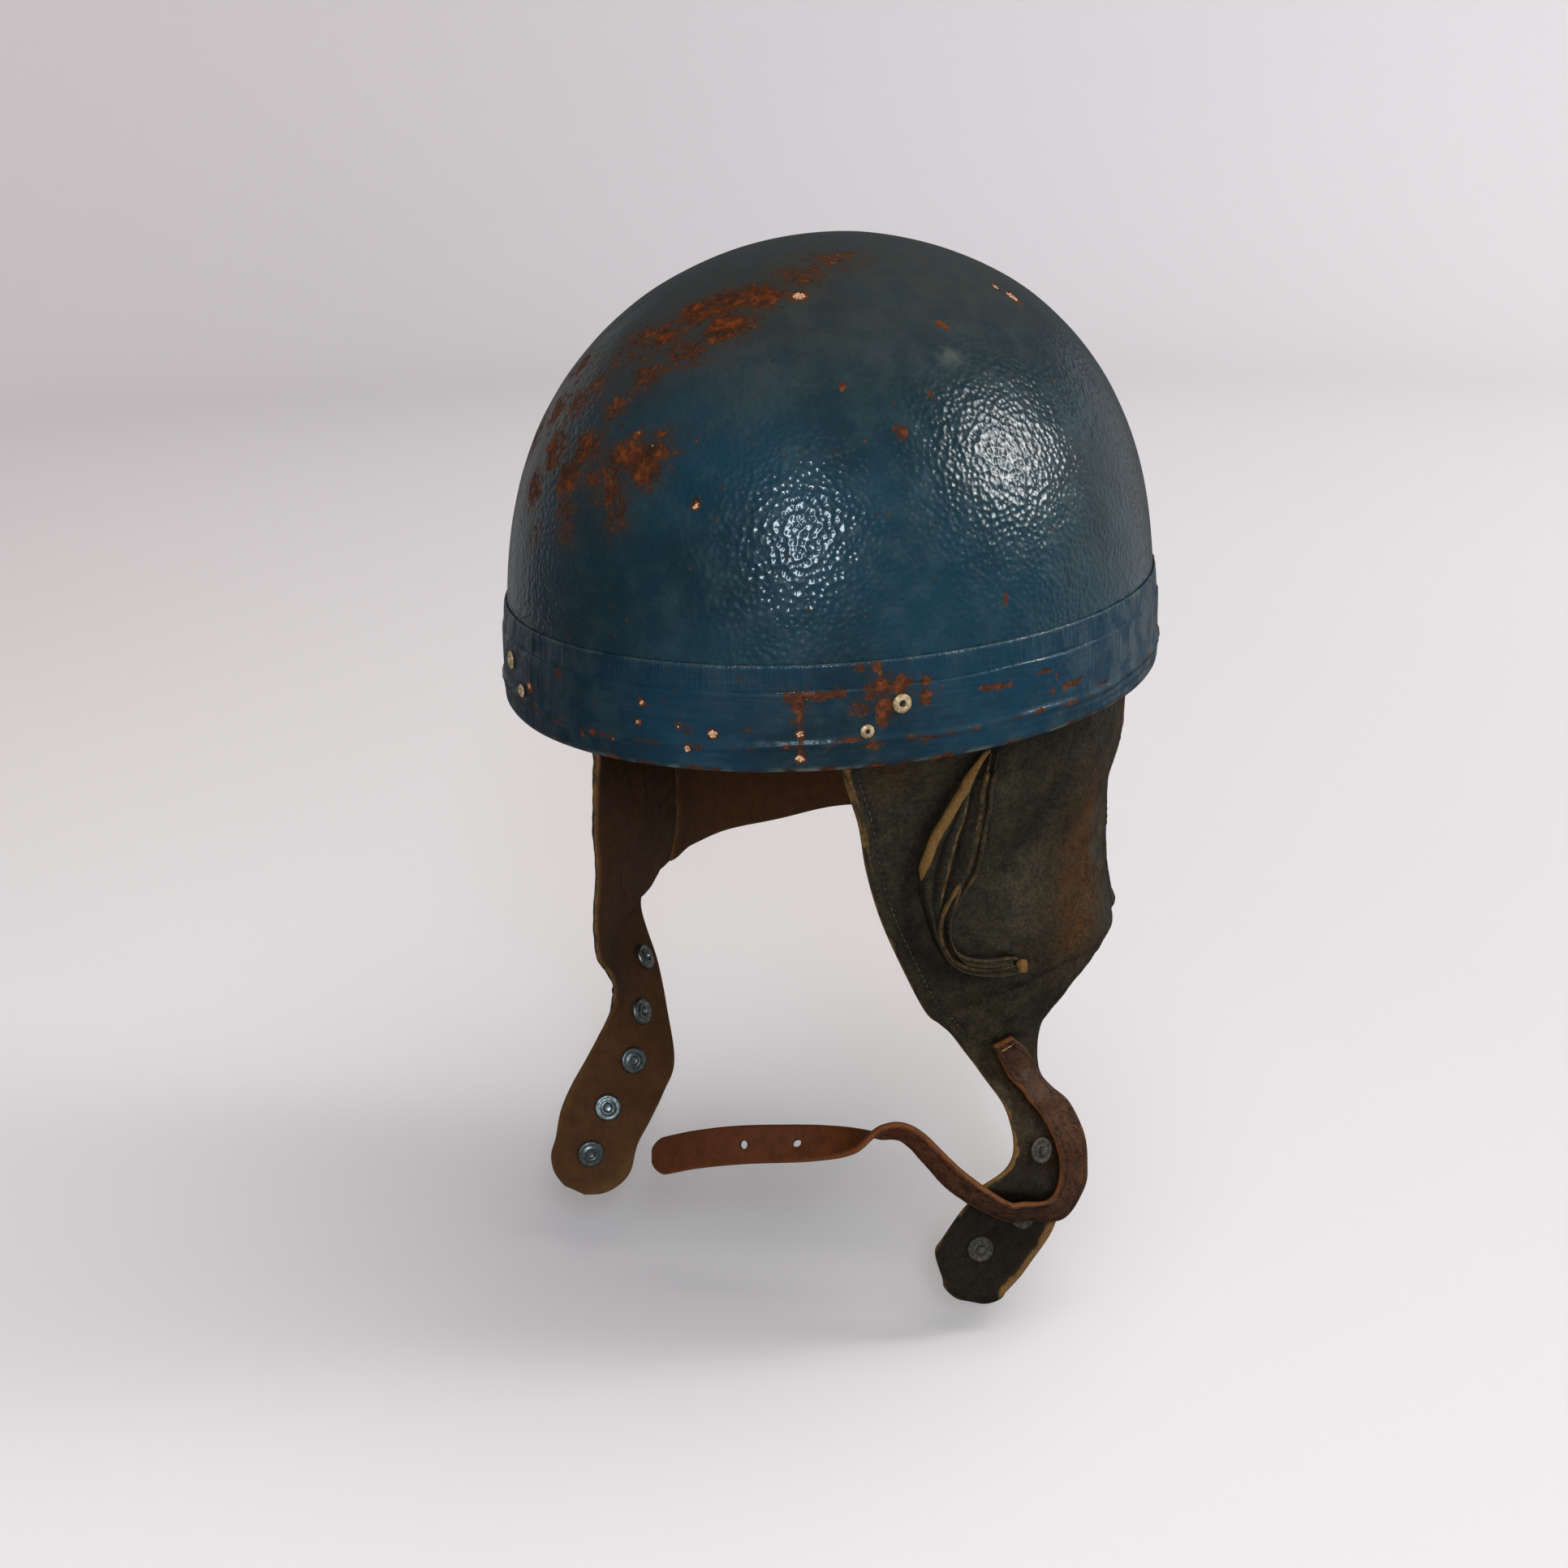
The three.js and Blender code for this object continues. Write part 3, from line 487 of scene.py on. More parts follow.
points = np.concatenate([
    outside.reshape(-1, 3), [[0, 0, crown_height]],
    inside.reshape(-1, 3), [[0, 0, crown_height - dome_wall]],
])
over = np.arange(outside.size // 3).reshape(-1, turns)
crown = over.size
under = crown + 1 + np.arange(inside.size // 3).reshape(-1, turns)
hollow = under[-1, -1] + 1
faces = []
for low, high in [*zip(over[:-1], over[1:]), *zip(under[1:], under[:-1]), (under[0], over[0])]:
    faces += np.stack([low, np.roll(low, -1), np.roll(high, -1), high], -1).tolist()
faces += np.stack([over[-1], np.roll(over[-1], -1), np.full(turns, crown)], -1).tolist()
faces += np.stack([np.roll(under[-1], -1), under[-1], np.full(turns, hollow)], -1).tolist()
faces = [[int(v) for v in face] for face in faces]

is_inside = np.zeros(len(points))
is_inside[crown + 1:] = 1
dome = add_mesh("dome", points, faces, {
    "bare": dome_marks(points, bare_patches),
    "dots": dome_marks(points, bare_dots),
    "chips": dome_marks(points, ground_chips),
    "rubbed": dome_marks(points, pale_rubs),
    "inside": is_inside,
})
print("dome", len(points), "points")

# %% [markdown]
# ## The paint
#
# The blue was brushed on, so under a lamp it shows an orange peel of small hills about two millimetres
# apart, and each hill mirrors the lamp once. Where it has worn through, the brown of the shell shows.
# One noise is compared with a field that each point carries: high in a worn patch, the field lets
# most of the noise through, and on sound paint almost none. That gives ragged edges and stray flecks
# for free, and a single texture serves the dome and the tape.

# %% More helpers for shader nodes
def maths(tree, operation, *values):
    return node(tree, "ShaderNodeMath", dict(enumerate(values)), operation=operation).outputs[0]


def times(tree, one, other):
    return maths(tree, "MULTIPLY", one, other)


def larger(tree, one, other):
    return maths(tree, "MAXIMUM", one, other)


def field(tree, name):
    return node(tree, "ShaderNodeAttribute", attribute_name=name).outputs["Fac"]


def stretched(tree, place, scale):
    return node(tree, "ShaderNodeMapping", {"Vector": place, "Scale": scale}).outputs["Vector"]


def bump(tree, height, strength, distance, onto=None):
    inputs = {"Height": height, "Strength": strength, "Distance": distance}
    if onto is not None:
        inputs["Normal"] = onto
    return node(tree, "ShaderNodeBump", inputs).outputs["Normal"]


# %% The paint: brushed blue under dust and a painted sheen
def brushed_blue(tree, place, sound, deep, streaks):
    """The sound paint's colour, where it is grey with dust and painted sheen, and the quick noise that both are broken
    up with.
    """
    split = node(tree, "ShaderNodeSeparateXYZ", {"Vector": place})
    slow = noise(tree, place, 14, 3.0)
    brushed = noise(tree, stretched(tree, place, (0.1, 0.1, 1)), 900, 2.0)
    quick = noise(tree, place, 90, 5.0, 0.6)
    blue = mix(tree, between(tree, slow, 0.36, 0.66), deep, sound)
    blue = mix(tree, between(tree, quick, 0.42, 0.72, 0, 0.25), blue, srgb(44, 66, 70))
    blue = mix(tree, between(tree, brushed, 0.40, 0.62, 0, streaks), blue, srgb(8, 27, 34))

    # Grey-brown over the crown and the left shoulder: partly dust, partly a painted sheen.
    dust_height = maths(tree, "ADD", split.outputs["Z"], times(tree, slow, 0.05))
    dust_and_sheen = between(tree, dust_height, 0.118, 0.170)
    shoulder_sheen = between(tree, split.outputs["X"], -0.028, -0.105)
    shoulder_sheen = times(tree, shoulder_sheen, between(tree, split.outputs["Z"], 0.045, 0.11))
    dust_and_sheen = larger(tree, times(tree, dust_and_sheen, 0.72), times(tree, shoulder_sheen, 0.62))
    dust_and_sheen = times(tree, dust_and_sheen, between(tree, quick, 0.25, 0.6, 0.55, 1.0))
    blue = mix(tree, dust_and_sheen, blue, srgb(48, 47, 40))
    scuffed = times(tree, field(tree, "rubbed"), between(tree, quick, 0.3, 0.6))
    return mix(tree, scuffed, blue, srgb(104, 108, 92)), dust_and_sheen, quick


# %% The paint: stained, bare and chipped places
def worn_through(tree, place, blue):
    """The colour with its wear, and how bare, how near a chip and how chipped each place is."""
    ragged = noise(tree, place, 150, 9.0, 0.74, 0.4)
    fleck = noise(tree, place, 520, 4.0, 0.65)
    pitted = maths(tree, "ADD", times(tree, ragged, 0.58), times(tree, fleck, 0.42))
    reach = times(tree, field(tree, "bare"), 0.33)
    worn = maths(tree, "ADD", pitted, reach)
    bare = between(tree, worn, 0.675, 0.745)
    halo = between(tree, worn, 0.56, 0.71)
    dotted = times(tree, field(tree, "dots"), 0.32)
    specks = maths(tree, "ADD", noise(tree, place, 260, 3.0, 0.7), dotted)
    bare = larger(tree, bare, between(tree, specks, 0.68, 0.70))
    spatter = maths(tree, "MULTIPLY_ADD", field(tree, "bare"), 0.21, fleck)
    bare = larger(tree, bare, between(tree, spatter, 0.705, 0.73))
    grit = noise(tree, place, 1300, 4.0, 0.7)
    chip = between(tree, maths(tree, "MULTIPLY_ADD", grit, 1.3, field(tree, "chips")), 1.16, 1.26)

    brown = mix(tree, between(tree, ragged, 0.42, 0.70), srgb(58, 26, 8), srgb(108, 50, 9))
    brown = mix(tree, between(tree, noise(tree, place, 250, 5.0, 0.7), 0.45, 0.60, 0, 0.9), brown, srgb(40, 24, 12))
    stained = larger(tree, times(tree, halo, 0.8), times(tree, field(tree, "bare"), 0.62))
    colour = mix(tree, stained, blue, srgb(50, 32, 16))
    colour = mix(tree, bare, colour, brown)
    rind = between(tree, maths(tree, "MULTIPLY_ADD", ragged, 0.9, field(tree, "chips")), 0.62, 0.72)
    colour = mix(tree, rind, colour, brown)
    ground = mix(tree, between(tree, grit, 0.4, 0.65), srgb(128, 82, 56), srgb(206, 170, 136))
    return mix(tree, chip, colour, ground), bare, rind, chip


# %% The paint's material
def blue_paint(name, sound, deep, peel, gloss, streaks, patchy):
    """Brushed enamel over brown fibre: `sound` and `deep` are its lighter and darker blue.

    `peel` is the strength of the small hills, `streaks` that of the dark brush marks, and `patchy` is
    what is left of the gloss coat in its dull places.
    """
    material, tree, surface = shader(name, Specular_IOR_Level=0.25, Coat_Roughness=0.07)
    place = node(tree, "ShaderNodeTexCoord").outputs["Object"]
    blue, dust_and_sheen, quick = brushed_blue(tree, place, sound, deep, streaks)
    colour, bare, rind, chip = worn_through(tree, place, blue)
    fibre = noise(tree, stretched(tree, place, (1, 1, 2.4)), 160, 6.0, 0.7)
    lining = mix(tree, fibre, srgb(44, 33, 25), srgb(78, 61, 46))
    colour = mix(tree, field(tree, "inside"), colour, lining)
    tree.links.new(colour, surface.inputs["Base Color"])

    rough = between(tree, quick, 0.3, 0.7, gloss, gloss + 0.12, smooth=False)
    rough = maths(tree, "ADD", rough, times(tree, dust_and_sheen, 0.22))
    rough = larger(tree, rough, times(tree, larger(tree, bare, chip), 0.72))
    rough = larger(tree, rough, times(tree, field(tree, "inside"), 0.85))
    tree.links.new(rough, surface.inputs["Roughness"])
    uncoated = larger(tree, larger(tree, bare, rind), field(tree, "inside"))
    full_coat = maths(tree, "SUBTRACT", 0.6, times(tree, dust_and_sheen, 0.5))
    coat = times(tree, maths(tree, "SUBTRACT", 1.0, uncoated), full_coat)
    coat = times(tree, coat, between(tree, quick, 0.44, 0.56, patchy, 1.0))
    tree.links.new(coat, surface.inputs["Coat Weight"])

    cells = {"Vector": place, "Scale": 490.0, "Smoothness": 0.5}
    hills = node(tree, "ShaderNodeTexVoronoi", cells, feature="SMOOTH_F1").outputs["Distance"]
    peel_height = maths(tree, "MULTIPLY_ADD", hills, 1.0, times(tree, noise(tree, place, 130), 0.5))
    relief = bump(tree, peel_height, times(tree, maths(tree, "SUBTRACT", 1.0, dust_and_sheen), peel), 0.00045)
    puckers = noise(tree, stretched(tree, place, (1, 1, 0.09)), 640, 2.0, 0.6)
    puckers = times(tree, puckers, field(tree, "puckered"))
    relief = bump(tree, puckers, 0.8, 0.0009, relief)
    relief = bump(tree, maths(tree, "SUBTRACT", 1.0, larger(tree, bare, chip)), 0.55, 0.00035, relief)
    tree.links.new(relief, surface.inputs["Normal"])
    tree.links.new(relief, surface.inputs["Coat Normal"])
    return material


shell_paint = blue_paint("shell_paint", srgb(12, 45, 57), srgb(9, 33, 41), 0.74, 0.30, 0.08, 0.9)
finish_piece(dome, shell_paint, "shell_paint", "shell")

# %% [markdown]
# ## The tape round the rim
#
# Two laps of cloth tape were wrapped over the edge, turned in under it and painted with the dome. The
# upper lap ends in a line 34 mm up, the lower one in a fainter line 9 mm below it, and a cord under
# the tape makes the bead above the rim. Tape that is stretched round a curve puckers, so the section
# changes a little at every step round the ring: short upright creases, and a bead that wanders.

# %% The tape's section
tape_top, lap_line, bead_line = 34, 24.8, 7.4
round_count = 760
around = np.linspace(0, 2 * math.pi, round_count, endpoint=False)[:, None]
climb = np.concatenate([np.linspace(-1.15, 0.6, 6), np.linspace(1.2, 24.2, 35), np.linspace(24.6, 25.6, 5),
                        np.linspace(26.2, 33.4, 12), [33.75, 33.95]])
hidden = np.array([
    # out from the dome, and height
    (0.3, 34.0), (0.3, 20.0), (0.3, -0.3), (-4.6, -0.3), (-4.6, 8), (-5.4, 8), (-5.4, 0), (-3.45, -1.2), (-1, -1.35),
])
z = np.broadcast_to(climb[None, :], (round_count, climb.size))
plain = round_rim(around, z, 1)
wander = 0.55 * ripple(plain * [1, 1, 0], 60, 11)
creases = ripple(plain, 4.2, 12, stretch=(1, 1, 7)) * (0.35 + 0.65 * np.abs(ripple(plain, 45, 13)))
side_share = smooth_step(0.55, 0.98, np.abs(np.sin(around - 0.46)))
crease_depth = 0.07 + 0.16 * smooth_step(lap_line, 27, z) * smooth_step(tape_top, 30, z) + 0.24 * side_share
thick = 0.92 + 0.62 * smooth_step(25.5, 24.7, z + 0.3 * ripple(plain * [1, 1, 0], 35, 14))
lumps = 1 - 0.6 * smooth_step(0.0, 0.6, ripple(plain * [1, 1, 0], 20, 17))
thick = thick + 0.85 * lumps * bump_line(z - bead_line - wander, 1.25) + 0.22 * bump_line(z - 4.4 - wander, 1.0)
thick = thick + creases * crease_depth * smooth_step(-1, 3, z)
thick = thick * np.sqrt(np.clip(1 - np.clip((z - 33.1) / 0.95, 0, 1) ** 2, 0.12, 1))
thick = thick - 1.25 * np.clip((0.9 - z) / 2.1, 0, 1) ** 1.6
band_outside = round_rim(around, z, dome_share(z), thick)
band_inside = round_rim(around, hidden[:, 1], dome_share(hidden[:, 1]), hidden[:, 0])
section = np.concatenate([band_outside, band_inside], 1)
unlapped = np.concatenate([round_rim(around, z, dome_share(z)), band_inside], 1)

# %% Where the tape is worn, scratched and chipped
tape_patches = [
    (36.1, 25, 4.4, 1.0), (36.8, 19.1, 4.2, 1.1), (39.4, 24.8, 4.0, 1.0), (43.0, 20.4, 2.8, 0.95),
    (32.9, 19.1, 2.8, 0.9), (43.2, 25.5, 2.2, 0.9), (34.4, 23.4, 2.8, 0.95), (33, 32, 2.0, 0.95),
    (35.5, 32, 2.0, 0.95), (36.2, 14.5, 2.6, 0.9), (23.6, 22, 3.0, 1.0), (22.4, 23.6, 2.6, 0.95), (23.7, 16, 2.0, 0.85),
    (-20.8, 23.5, 2.4, 0.9), (-35.1, 22.5, 1.8, 0.7), (-12.3, 6.9, 1.6, 0.7), (15.7, 13.1, 1.2, 0.7),
    (5.8, 12, 1.6, 0.8), (10, 11, 1.7, 0.8), (30.4, 9, 1.6, 0.7), (34.7, 6.6, 2.4, 0.7), (43, 6.7, 2.2, 0.7),
    (118, 14, 3.0, 0.8), (151, 24, 2.6, 0.8), (183, 9, 3.4, 0.8), (207, 20, 2.4, 0.8), (-84, 12, 2.6, 0.8),
    (-118, 22, 2.8, 0.8), (-66, 7.5, 2.2, 0.7),
]
tape_scratches = [
    (22.4, 24, 30.2, 24.1, 1.5), (23.6, 24, 23.8, 4, 1.2), (52, 20.2, 57.5, 19.7, 1.3), (63, 21, 65.6, 20.8, 1.0),
    (66, 12.8, 73, 14, 1.3), (77, 9.2, 80, 9.4, 1.0), (37, 25.8, 41, 26, 1.2), (29.5, 9.2, 33, 9, 0.8),
    (33, 6.5, 36.6, 6.6, 0.55), (41.5, 6.6, 45.5, 6.9, 0.55), (128, 18, 134, 17.6, 0.7), (-100, 18, -95, 18.6, 0.7),
]
tape_chips = [
    (23.7, 11.6, 1.3, 0.95), (23.6, 3.6, 1.5, 1.0), (10, 11.4, 1.6, 1.0), (5.8, 6.2, 1.3, 0.95), (4.1, 13.3, 1.0, 0.8),
    (-2.3, 20, 1.1, 0.9), (-3.2, 13.1, 1.0, 0.9), (-31, 14.5, 2.0, 0.8), (-8, 6, 0.9, 0.7), (-15, 5, 0.9, 0.7),
    (172, 13, 1.4, 0.9), (-140, 8, 1.4, 0.9),
]


def tape_lines(points, lines):
    """Long scratches on the tape: (turn and height of each end, width)."""
    level = np.zeros(points.shape[:-1])
    for turn_a, z_a, turn_b, z_b, width in lines:
        ends = [round_rim(math.radians(turn), z, dome_share(z)) for turn, z in ((turn_a, z_a), (turn_b, z_b))]
        level = np.maximum(level, bump_line(away_from(points, *ends), width))
    return level


def outside_only(field):
    """A field of the tape's outer face, with 0 on its hidden side."""
    return np.concatenate([field, np.zeros((round_count, len(hidden)))], 1)


# %% Build the tape
low_wear = np.maximum(0.9 * smooth_step(1.6, -0.4, z), 0.8 * bump_line(z - bead_line - wander, 0.9))
low_wear = outside_only(low_wear * smooth_step(-0.2, 0.5, ripple(plain, 9, 15, stretch=(1, 1, 3))))
edge_rub = 0.5 * smooth_step(1.0, -0.6, z) * smooth_step(-0.3, 0.4, ripple(plain, 7, 16))
patches = dome_marks(unlapped, tape_patches)
tape = ring("rim_tape", section, {
    "bare": np.maximum(patches * 0.9, 0.75 * low_wear),
    "dots": np.maximum.reduce([tape_lines(unlapped, tape_scratches), patches, 0.6 * low_wear]),
    "chips": dome_marks(unlapped, tape_chips),
    "puckered": outside_only(np.maximum(smooth_step(lap_line, 26, z), 0.8 * side_share + 0 * z)),
    "rubbed": outside_only(edge_rub + 0.2 * bump_line(z - tape_top, 0.6)),
    "inside": np.zeros(section.shape[:2]),
})
faces_outward(tape)
band_paint = blue_paint("band_paint", srgb(12, 46, 62), srgb(9, 34, 45), 0.20, 0.32, 0.28, 0.1)
finish_piece(tape, band_paint, "band_paint", "edge_band")

# %% [markdown]
# ## Rivets and press studs
#
# Four tubular rivets hold the leather to the dome, and eight press-stud halves run down the tabs. All
# of them are turned shapes standing on a surface, so one Geometry Nodes tree serves: it puts a turned
# shape on every point it is given, points it along that point's `facing`, and turns it by a random
# amount so that no two nicks line up. The turned shapes come from short profiles.

# %% Geometry Nodes: shapes on their seats
def new_tree(name, inputs):
    """A Geometry Nodes tree with named inputs, and its first and last nodes."""
    tree = bpy.data.node_groups.new(name, "GeometryNodeTree")
    tree.interface.new_socket("Geometry", in_out="INPUT", socket_type="NodeSocketGeometry")
    tree.interface.new_socket("Geometry", in_out="OUTPUT", socket_type="NodeSocketGeometry")
    for label, kind in inputs:
        tree.interface.new_socket(label, in_out="INPUT", socket_type="NodeSocket" + kind)
    return tree, tree.nodes.new("NodeGroupInput"), tree.nodes.new("NodeGroupOutput")


def end_tree(tree, start, end, geometry):
    """Ends a tree as the export needs it: real geometry, with its material set."""
    solid = node(tree, "GeometryNodeRealizeInstances", {"Geometry": geometry})
    dressed = node(tree, "GeometryNodeSetMaterial", {
        "Geometry": solid.outputs["Geometry"], "Material": start.outputs["Material"],
    })
    tree.links.new(dressed.outputs["Geometry"], end.inputs["Geometry"])
    return tree


def twisted(tree, rotation, angle):
    """A rotation with a further turn about its own Z axis."""
    twist = node(tree, "FunctionNodeAxisAngleToRotation", {"Angle": angle, "Axis": (0, 0, 1)})
    return node(tree, "FunctionNodeRotateRotation", {
        "Rotation": rotation, "Rotate By": twist.outputs["Rotation"],
    }, rotation_space="LOCAL").outputs["Rotation"]


def grow(name, source, tree, settings):
    """Runs a tree on a mesh and keeps the result as a plain mesh on an object of this name."""
    holder = bpy.data.objects.new(name, source)
    bpy.context.collection.objects.link(holder)
    modifier = holder.modifiers.new(tree.name, "NODES")
    modifier.node_group = tree
    for item in tree.interface.items_tree:
        if item.item_type == "SOCKET" and item.in_out == "INPUT" and item.name in settings:
            modifier[item.identifier] = settings[item.name]
    bpy.context.view_layer.update()
    graph = bpy.context.evaluated_depsgraph_get()
    plain = bpy.data.meshes.new_from_object(
        holder.evaluated_get(graph), preserve_all_data_layers=True, depsgraph=graph)
    holder.modifiers.clear()
    holder.data = plain
    plain.name = name
    return holder


def seated_tree():
    inputs = [("Shape", "Object"), ("Spin seed", "Int"), ("Material", "Material")]
    tree, start, end = new_tree("shapes on seats", inputs)
    facing = node(tree, "GeometryNodeInputNamedAttribute", {"Name": "facing"}, data_type="FLOAT_VECTOR")
    shape = node(tree, "GeometryNodeObjectInfo", {"Object": start.outputs["Shape"]}, transform_space="ORIGINAL")
    upright = node(tree, "FunctionNodeAlignRotationToVector", {"Vector": facing.outputs["Attribute"]}, axis="Z")
    spin = node(tree, "FunctionNodeRandomValue", {"Seed": start.outputs["Spin seed"]}, data_type="FLOAT")
    spin.inputs[2].default_value = 0.0
    spin.inputs[3].default_value = 2 * math.pi
    placed = node(tree, "GeometryNodeInstanceOnPoints", {
        "Points": start.outputs["Geometry"], "Instance": shape.outputs["Geometry"],
        "Rotation": twisted(tree, upright.outputs["Rotation"], spin.outputs[1]),
    })
    return end_tree(tree, start, end, placed.outputs["Instances"])


shapes_on_seats = seated_tree()


def seats_mesh(name, seats):
    """A mesh of loose points in metres that carry the direction they face."""
    mesh = bpy.data.meshes.new(name)
    mesh.from_pydata([(np.asarray(spot) / 1000).tolist() for spot, way in seats], [], [])
    keep_fields(mesh, {"facing": [way for spot, way in seats]}, "FLOAT_VECTOR")
    return mesh


def turned(name, profile, sides=48):
    """A shape turned about Z from [radius, height] pairs; a first or last radius of 0 closes it."""
    angle = np.linspace(0, 2 * math.pi, sides, endpoint=False)
    around = np.stack([np.cos(angle), np.sin(angle)], -1)
    shape = bmesh.new()
    rings = []
    for radius, height in profile:
        if radius == 0:
            rings.append([shape.verts.new((0, 0, height / 1000))] * sides)
        else:
            rings.append([shape.verts.new((*(xy * radius / 1000), height / 1000)) for xy in around])
    closed = profile[0][0] > 0 and profile[-1][0] > 0
    for near, far in zip(rings, rings[1:] + (rings[:1] if closed else [])):
        for k in range(sides):
            corner = [near[k], near[(k + 1) % sides], far[(k + 1) % sides], far[k]]
            shape.faces.new(list(dict.fromkeys(corner)))
    bmesh.ops.recalc_face_normals(shape, faces=shape.faces)
    mesh = bpy.data.meshes.new(name)
    shape.to_mesh(mesh)
    shape.free()
    smooth_shaded(mesh)
    return bpy.data.objects.new(name, mesh)


def put_on_seats(name, shape, seats, material, slot, *nodes, seed=1):
    """One piece for each seat, because each stands for a node of its own."""
    for k, (seat, replaced) in enumerate(zip(seats, nodes)):
        label = name if len(nodes) == 1 else f"{name}_{k + 1}"
        piece = grow(label, seats_mesh(label, [seat]), shapes_on_seats, {
            "Shape": shape, "Spin seed": seed + k, "Material": material,
        })
        finish_piece(piece, material, slot, replaced)


# %% Tarnished brass, dull nickel, and the studs' nickel darkened with painted shade
def worn_metal(name, bright, dull, roughness, grime, metal=1.0):
    """Handled metal with grime in its hollows; a lower `metal` is a duller, skinned-over surface."""
    material, tree, surface = shader(name, Metallic=1.0)
    place = node(tree, "ShaderNodeTexCoord").outputs["Object"]
    cloud = noise(tree, place, 700, 5.0, 0.65)
    spots = noise(tree, place, 1900, 3.0, 0.6)
    hollow = node(tree, "ShaderNodeAmbientOcclusion", {"Distance": 0.0012}, samples=8).outputs["AO"]
    colour = mix(tree, between(tree, cloud, 0.38, 0.64), dull, bright)
    dirty = larger(tree, between(tree, hollow, 0.85, 0.45), between(tree, spots, 0.66, 0.80))
    colour = mix(tree, times(tree, dirty, 0.85), colour, grime)
    tree.links.new(colour, surface.inputs["Base Color"])
    tree.links.new(maths(tree, "MULTIPLY_ADD", dirty, -0.8 * metal, metal), surface.inputs["Metallic"])
    tree.links.new(between(tree, cloud, 0.3, 0.7, roughness + 0.18, roughness), surface.inputs["Roughness"])
    tree.links.new(bump(tree, cloud, 0.12, 0.0002), surface.inputs["Normal"])
    return material


rivet_metal = worn_metal("rivet_metal", srgb(206, 184, 146), srgb(146, 120, 86), 0.38, srgb(58, 40, 26), 0.45)
snap_metal = worn_metal("snap_metal", srgb(168, 174, 172), srgb(108, 114, 110), 0.34, srgb(44, 42, 36))
# The studs' metal is a darker copy of the sockets' nickel: partly patina, partly painted shade on the left tab, which
# is turned away from the light.
stud_metal = worn_metal("stud_metal", srgb(84, 81, 68), srgb(52, 50, 41), 0.5, srgb(24, 22, 16), 0.5)

# %% Rivets
def on_dome(turn, z):
    """A place and its direction on the dome; the turn is in degrees from the front, left positive."""
    angle = math.radians(turn)
    a, b = half_width * dome_share(z), half_length * dome_share(z)
    normal = unit(np.array([math.sin(angle) / a, -math.cos(angle) / b, 0]))
    return round_rim(angle, z, dome_share(z)), normal


def rivet_profile(radius, hole):
    """Rolled flange outside, plain tube through the wall, and the spread end inside."""
    wall_out, top, tail = 1.9, 2.75, -10.4
    roll = [(hole + 0.3 * (radius - hole) * (1 - math.cos(a)), top + 0.28 * math.sin(a)) for a in (0.2, 0.9, 1.5)]
    rim = [(radius - 0.75 + 0.75 * math.sin(a), top - 0.65 + 0.65 * math.cos(a)) for a in (0.1, 0.5, 0.9, 1.3, 1.6)]
    under = [(radius - 0.25, wall_out - 0.05), (hole + 0.65, wall_out - 0.1), (hole + 0.65, tail)]
    spread = [
        (radius * 0.86, tail), (radius * 0.9, tail - 0.3), (radius * 0.84, tail - 0.6), (hole + 0.25, tail - 0.55),
    ]
    bore = [(hole, tail - 0.4), (hole * 0.9, wall_out), (hole * 0.95, top - 0.25)]
    return roll + rim + under + spread + bore


for level, turn, z, radius, hole in (("lower", 33.8, 11.5, 2.3, 0.8), ("upper", 39.2, 19.5, 3.2, 1.2)):
    shape = turned("rivet_shape", rivet_profile(radius, hole))
    for side, seat in (("left", on_dome(turn, z)), ("right", on_dome(-turn, z))):
        replaced = f"rivet_{level}_{side}"
        put_on_seats(f"{level}_rivet_{side}", shape, [seat], rivet_metal, "rivet_metal", replaced, seed=3)

# %% [markdown]
# ## Leather ear flaps
#
# Each flap is one piece of soft leather: sewn in under the dome, bowed out over the ear, drawn in to a
# waist and run on as a chin tab. The left tab has folded over on itself. A pattern cutter would work
# from a table of widths, and so does this cell: each row gives the front edge, the rear edge and how
# far the leather bows out between them. A smooth curve joins the rows, then a few long ridges and
# valleys put the set of years of wear into it.

# %% Flap patterns
# each row: front edge x, y, z, rear edge x, y, z, and how far the leather bows out between them
flap_top = np.array([
    [54.5, -112, 26, 101.5, 38, 26, 22], [54.5, -112, 6, 101.5, 38, 6, 22], [47.2, -98.4, -11, 99.2, 38, -11, 24],
    [50.5, -94.3, -29, 97.4, 38, -29, 24], [52.5, -92.6, -46, 92.6, 38, -46, 24], [55.5, -87.6, -65, 92.4, 38, -65, 25],
    [61, -81.2, -85, 91.8, 38, -84, 27], [65.5, -72.6, -103, 95, 38, -103, 24], [67.5, -65, -110, 96, 24, -106.8, 19],
    [69, -58.5, -116, 92.6, 6, -113, 11],
])
right_bow = [22, 21.5, 12, 0, -4, -5, -3, 1, 5, 4]
left_tab = np.array([
    [71.5, -52, -125, 84.4, -7, -128, 6.5], [77, -46, -137, 85.5, -14, -145, 3],
    [84.7, -44.8, -148, 95.5, -16.5, -156, 2], [88.9, -46.4, -161, 100.5, -17, -166, 2],
    [87, -49, -170, 104, -20.5, -178, 3], [79, -57.5, -176, 104.5, -30, -184.5, 3],
    [76, -51, -182, 101.5, -27, -189.5, 0], [71, -54, -189, 99.5, -34.5, -200, 1],
    [66, -58, -198, 93.5, -39.5, -211, 2],
    [64, -61, -203, 90, -42.5, -217, 2], [67, -61.1, -213.2, 86.5, -46.6, -221.4, 1.5],
])
right_tab = np.array([
    [71.5, -52, -125, 80, -4, -133, 3], [77, -46, -137, 72, -12, -148, 2], [82, -48.3, -147.5, 61.5, -26, -164, 1],
    [86, -52.2, -156.6, 61.2, -35.7, -173, 1], [89, -59.1, -165.2, 62, -46, -181, 1],
    [91, -64.6, -174, 65.5, -50.5, -190, 1], [91.5, -68.5, -184, 68, -52.5, -201, 1],
])
